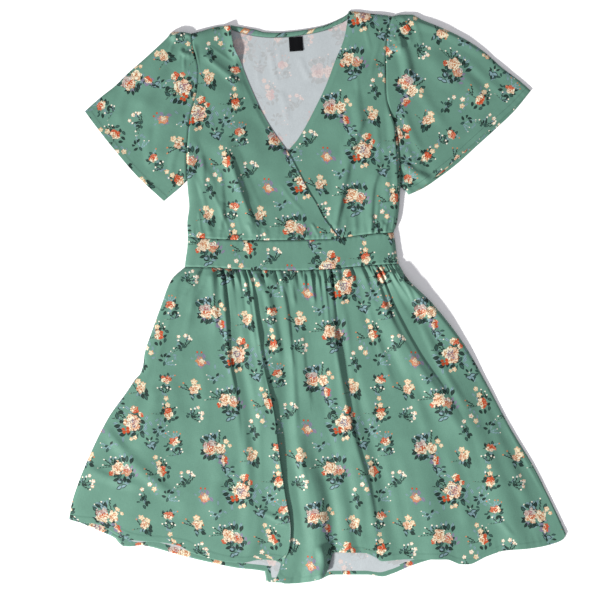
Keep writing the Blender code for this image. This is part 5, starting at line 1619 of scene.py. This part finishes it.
class DRESS_OT_front_bodice(Operator):
    """Make the two front laps, the over-lap on the under-lap"""

    bl_idname = "dress.front_bodice"
    bl_label = "Front Bodice"
    bl_options = {"REGISTER", "UNDO"}

    def execute(self, context):
        shares = crowded(BODICE_ROWS), crowded(BODICE_COLUMNS)
        x, y = patch(LEFT_SIDE, OVER_EDGE, LEFT_SHOULDER, WAIST_TOP, *shares)
        folds = FOLD_SOFT * fold_heights(x, y, OVER_FOLDS + BODICE_CREASES)
        under = bodice_under(x, y) + over_lift(x, y) + folds
        side = LEFT_SIDE, UNDERARM_LEFT
        self.finish_lap("front_bodice_over", x, y, under, *side, 0, 1.0, flat=(0.252, 0.36))
        x, y = patch(UNDER_EDGE, RIGHT_SIDE, RIGHT_SHOULDER, WAIST_TOP, *shares)
        shown = covered(x, y)
        under = bodice_under(x, y) + FOLD_SOFT * fold_heights(x, y, UNDER_FOLDS + BODICE_CREASES) * shown
        side = RIGHT_SIDE, UNDERARM_RIGHT
        self.finish_lap("front_bodice_under", x, y, under, *side, -1, shown, flat=(0.252, 0.38))
        return {"FINISHED"}

    def finish_lap(self, node, x, y, under, side, underarm, column, shown, flat):
        """Draws a lap in at its seams, lays its neck edge on the back and makes its shell."""
        hole = distance_to(x, y, side_line(side, underarm, side[-1][0]))
        side_seam = distance_to(x, y, side_line(side, side[0][0], underarm))
        waist = distance_to(x, y, level_line(WAIST_TOP))
        neck = distance_to(x, y, NECK_LINE)
        calm = eased(waist / UNEVEN_EASE) * eased(neck / UNEVEN_EASE) * eased(side_seam / UNEVEN_EASE)
        stands = eased((y - NECK_STAND_FROM) / NECK_STAND_RISE) * (x < LABEL_CENTRE[0])
        under = under + seam_dip(hole) + right_puff(through(RIGHT_SIDE, y) - x, y) * (y < UNDERARM_RIGHT)
        under = under + NECK_STAND * stands * (1 - eased(neck / NECK_STAND_FADE))
        flat_edge = (1 - eased(neck / NECK_PRESSED)) * (1 - stands)
        under = under - flat_edge * np.maximum(under - BACK_TOP - NECK_CLEAR, 0) * (y > CROSSING)
        under = under + puckers(x, waist, *LAP_PUCKERS) * shown + seam_dip(waist) + unevenness(x, y) * calm
        points = on_top(x, y, under)
        lay = cloth_lay(points, column, CUT_FROM[node])
        piece = make_cloth(node + "_cloth", points, lay, seam_lines(np.minimum(waist, hole)))
        settle(piece, node)


class DRESS_OT_waistbands(Operator):
    """Make the front waistband and the hidden one behind it"""

    bl_idname = "dress.waistbands"
    bl_label = "Waistbands"
    bl_options = {"REGISTER", "UNDO"}

    def execute(self, context):
        shares = crowded(BAND_ROWS), crowded(BAND_COLUMNS)
        x, y = patch(LEFT_SIDE, RIGHT_SIDE, WAIST_TOP, WAIST_BOTTOM, *shares)
        edges = rolled_sides(x)
        seam = np.minimum(y[:1] - y, y - y[-1:])
        fine = unevenness(x, y) * CALMER + puckers(x, seam, *BAND_PUCKERS)
        under = FRONT_UNDER + (waist_loft(x) + fine) * edges + seam_dip(seam) + right_puff(x[:, -1:] - x, y)
        points = on_top(x, y, under)
        lay = cloth_lay(points, BAND_COLUMNS // 2, CUT_FROM["waistband"])
        piece = make_cloth("waistband_front_cloth", points, lay, seam_lines(seam))
        settle(piece, "waistband_front")
        points = np.stack([x, y, np.full_like(x, FLOOR_CLEAR)], axis=-1)
        back = make_back("waistband_back_cloth", points, lay + BACK_BAND_FURTHER)
        settle(back, "waistband_back")
        return {"FINISHED"}


class DRESS_OT_skirts(Operator):
    """Make the gathered skirt front with its deep folds, and the back that shows below it"""

    bl_idname = "dress.skirts"
    bl_label = "Skirts"
    bl_options = {"REGISTER", "UNDO"}

    def execute(self, context):
        shares, across = crowded(SKIRT_ROWS, SKIRT_CROWDING), skirt_columns()
        x, y = skirt_places(FRONT_HEM, across, shares)
        y[0] -= GAP / 2
        hem, drop, share = y - y[-1:], y[:1] - y, shares[:, None]
        gathers = gather_heights(across, shares)
        softer = (1 - through(GATHER_KEEPS, across)) * eased((share - GATHER_SOFT_FROM) / GATHER_SOFT_OVER)
        troughs = skirt_fold_heights(across, shares, x, SKIRT_TROUGHS, (0.0,) * len(SKIRT_TROUGHS))
        fine = CREASE_SOFT * fold_heights(x, y, SKIRT_CREASES) - softer * gathers - troughs
        fine += eased(drop / UNEVEN_EASE) * CALMER * unevenness(x, y) - notch_depths(across, shares, x)
        under = skirt_under(across, shares, x) + inside_sides(x) * fine + right_puff(x[:, -1:] - x, y)
        under += seam_dip(drop) + hem_relief(hem, run_along(x, y), SKIRT_HEM_ROW)
        x = x + fold_leans(across, shares, x)
        points = on_top(x, y, np.maximum(under, FRONT_UNDER))
        taken_up = eased((share - TAKEN_UP_FROM) / TAKEN_UP_OVER)
        lay = cloth_lay(points, int(np.argmin(abs(across - 3.0))), CUT_FROM["skirt_front"], grown=taken_up)
        piece = make_cloth("skirt_front_cloth", points, lay, seam_lines(drop), hem=hem)
        settle(piece, "skirt_front")
        places = np.linspace(0, 6, BACK_SKIRT_COLUMNS + 1)
        x, y = skirt_places(BACK_HEM, places, crowded(BACK_SKIRT_ROWS, SKIRT_CROWDING))
        y[0] -= GAP / 2
        points = np.stack([x, y, np.full_like(x, FLOOR_CLEAR)], axis=-1)
        lay = cloth_lay(points, BACK_SKIRT_COLUMNS // 2, CUT_FROM["skirt_back"])
        back = make_back("skirt_back_cloth", points, lay, hem=y - y[-1:] + HEM_FOLD - BACK_HEM_FOLD)
        settle(back, "skirt_back")
        return {"FINISHED"}


class DRESS_OT_sleeves(Operator):
    """Make the two short sleeves as flattened tubes, open at the hem"""

    bl_idname = "dress.sleeves"
    bl_label = "Sleeves"
    bl_options = {"REGISTER", "UNDO"}

    def execute(self, context):
        left = (LEFT_SIDE, LEFT_SLEEVE_TOP, LEFT_SLEEVE_UNDER, LEFT_SLEEVE_HEM)
        right = (RIGHT_SIDE, RIGHT_SLEEVE_TOP, RIGHT_SLEEVE_UNDER, RIGHT_SLEEVE_HEM)
        self.make_sleeve("sleeve_left", left, -1, LEFT_SLEEVE_FOLDS, LEFT_HEM_SHORT)
        self.make_sleeve("sleeve_right", right, 1, RIGHT_SLEEVE_FOLDS, RIGHT_HEM_SHORT)
        return {"FINISHED"}

    def make_sleeve(self, node, lines, sign, folds, short):
        """Makes a tube that is flat underneath: shares s run round each half, and v from armhole to hem."""
        s, v = crowded(SLEEVE_AROUND, AROUND_CROWDING), crowded(SLEEVE_ROWS, SLEEVE_CROWDING)
        x, y = sleeve_places(*lines, sign, s, v)
        edges = 1.0
        for k in (0, -1):
            edges = edges * rounded(distance_to(x, y, np.stack([x[:, k], y[:, k]], axis=-1)), SLEEVE_ROUND)
        hem = distance_to(x, y, along(lines[3], np.linspace(0, 1, HEM_POINTS)))
        hole = distance_to(x, y, np.stack([x[0], y[0]], axis=-1))
        run = run_along(x, y)
        loft = SLEEVE_LOFT * (1 - (1 - SLEEVE_HEM_LOFT) * eased(v[:, None]))
        folds = fold_heights(x, y, folds + SLEEVE_CREASES) + unevenness(x, y) * eased(hole / UNEVEN_EASE)
        sewn = seam_dip(hole) + hem_relief(hem, run, SLEEVE_HEM_ROW)
        high = SLEEVE_EDGE + (loft + folds + sewn) * edges
        low = SLEEVE_EDGE * (1 - edges) ** 2 + FLOOR_CLEAR

        def ring(upper, lower):
            """Values all round the tube: over the top, then back underneath."""
            return np.concatenate([upper, lower[:, 1:-1][:, ::-1]], axis=1)

        back = through(short, s) * (1 - eased(hem / HEM_SHORT_EASE))
        long = np.hypot(x[-1] - x[0], y[-1] - y[0])
        top_x, top_y = x - back * (x[-1] - x[0]) / long, y - back * (y[-1] - y[0]) / long
        points = np.stack([ring(top_x, x), ring(top_y, y), ring(high, low)], axis=-1)
        c, q = np.cos(SLEEVE_GRAIN), -sign * np.sin(SLEEVE_GRAIN)
        flat_x, flat_y = x * c + y * q, y * c - x * q
        upper = np.stack([flat_x, flat_y], axis=-1)
        below = np.stack([2 * flat_x[:, :1] - flat_x, flat_y], axis=-1)
        cloth = np.concatenate([ring(upper, below), upper[:, :1]], axis=1) + np.array(CUT_FROM[node])
        seam = np.where(hole < UNEVEN_EASE, seam_lines(hole)[..., 1], hem)
        edge_run = np.stack([run, seam], axis=-1)
        back_run = np.stack([2 * run[:, -1:] - run, hem], axis=-1)
        last = np.stack([2 * run[:, -1], hem[:, 0]], axis=-1)[:, None]
        seams = np.concatenate([ring(edge_run, back_run), last], axis=1)
        hem = seams[..., 1]
        piece = make_cloth(node + "_cloth", points, cloth, seams, closed=True, face_down=sign > 0, hem=hem)
        settle(piece, node)


class DRESS_OT_stage(Operator):
    """Make the floor, the lights and the camera that looks straight down"""

    bl_idname = "dress.stage"
    bl_label = "Studio"
    bl_options = {"REGISTER", "UNDO"}

    def execute(self, context):
        scene, stage = context.scene, context.scene.dress_stage
        bpy.ops.object.select_all(action="DESELECT")
        bpy.ops.mesh.primitive_plane_add(size=FLOOR_SIZE, location=(0, 0, 0))
        floor = context.active_object
        floor.name = "floor"
        finish, shader, sums = new_finish("Studio floor", Roughness=0.9, Specular_IOR_Level=0.1)
        spots = sums.noise(sums.node("ShaderNodeTexCoord").outputs["Object"], 3.0, 2.0)
        paler = tuple(min(1.0, FLOOR_PALER * part) for part in stage.floor)
        sums.feed(shader.inputs["Base Color"], sums.mix(spots, opaque(stage.floor), opaque(paler)))
        floor.data.materials.append(finish)
        world = scene.world or bpy.data.worlds.new("Studio")
        scene.world = world
        world.use_nodes = True
        back = world.node_tree.nodes["Background"]
        back.inputs["Color"].default_value = AIR_COLOUR
        back.inputs["Strength"].default_value = stage.fill
        key = bpy.data.objects.new("key", bpy.data.lights.new("key", "AREA"))
        scene.collection.objects.link(key)
        key.data.shape = "DISK"
        key.data.size = KEY_SIZE
        key.data.energy = stage.key
        key.data.color = KEY_COLOUR
        key.location = KEY_PLACE
        key.rotation_euler = (-Vector(KEY_PLACE)).to_track_quat("-Z", "Y").to_euler()
        camera = bpy.data.objects.new("camera", bpy.data.cameras.new("camera"))
        scene.collection.objects.link(camera)
        camera.data.lens = stage.lens
        camera.data.sensor_width = SENSOR
        camera.location = (*VIEW_CENTRE, stage.view_width * stage.lens / SENSOR + GARMENT_HEIGHT)
        camera.data.clip_end = CLIP_END
        scene.camera = camera
        scene.view_settings.view_transform = "Standard"
        return {"FINISHED"}


class DRESS_PT_panel(Panel):
    """Lists the garment's pieces and settings."""

    bl_label = "Wrap Dress"
    bl_idname = "DRESS_PT_panel"
    bl_space_type = "VIEW_3D"
    bl_region_type = "UI"
    bl_category = "Wrap Dress"

    def draw(self, context):
        layout = self.layout
        for operator in PIECES + (DRESS_OT_stage,):
            layout.operator(operator.bl_idname)
        for setting in SETTINGS:
            box, group = layout.box(), getattr(context.scene, setting)
            for name in type(group).__annotations__:
                box.prop(group, name)


SETTINGS = {"dress_cloth": DressCloth, "dress_colours": DressColours, "dress_stage": DressStage}
PIECES = (
    DRESS_OT_back_bodice, DRESS_OT_neck_trim, DRESS_OT_front_bodice, DRESS_OT_waistbands, DRESS_OT_skirts,
    DRESS_OT_sleeves,
)
CLASSES = (*SETTINGS.values(), *PIECES, DRESS_OT_stage, DRESS_PT_panel)


def register():
    for made in CLASSES:
        bpy.utils.register_class(made)
    for name, group in SETTINGS.items():
        setattr(bpy.types.Scene, name, PointerProperty(type=group))


def unregister():
    for name in SETTINGS:
        delattr(bpy.types.Scene, name)
    for made in reversed(CLASSES):
        bpy.utils.unregister_class(made)


def main():
    register()
    bpy.ops.dress.stage()
    bpy.ops.dress.back_bodice()
    bpy.ops.dress.neck_trim()
    bpy.ops.dress.front_bodice()
    bpy.ops.dress.waistbands()
    bpy.ops.dress.skirts()
    bpy.ops.dress.sleeves()


if __name__ == "__main__":
    main()
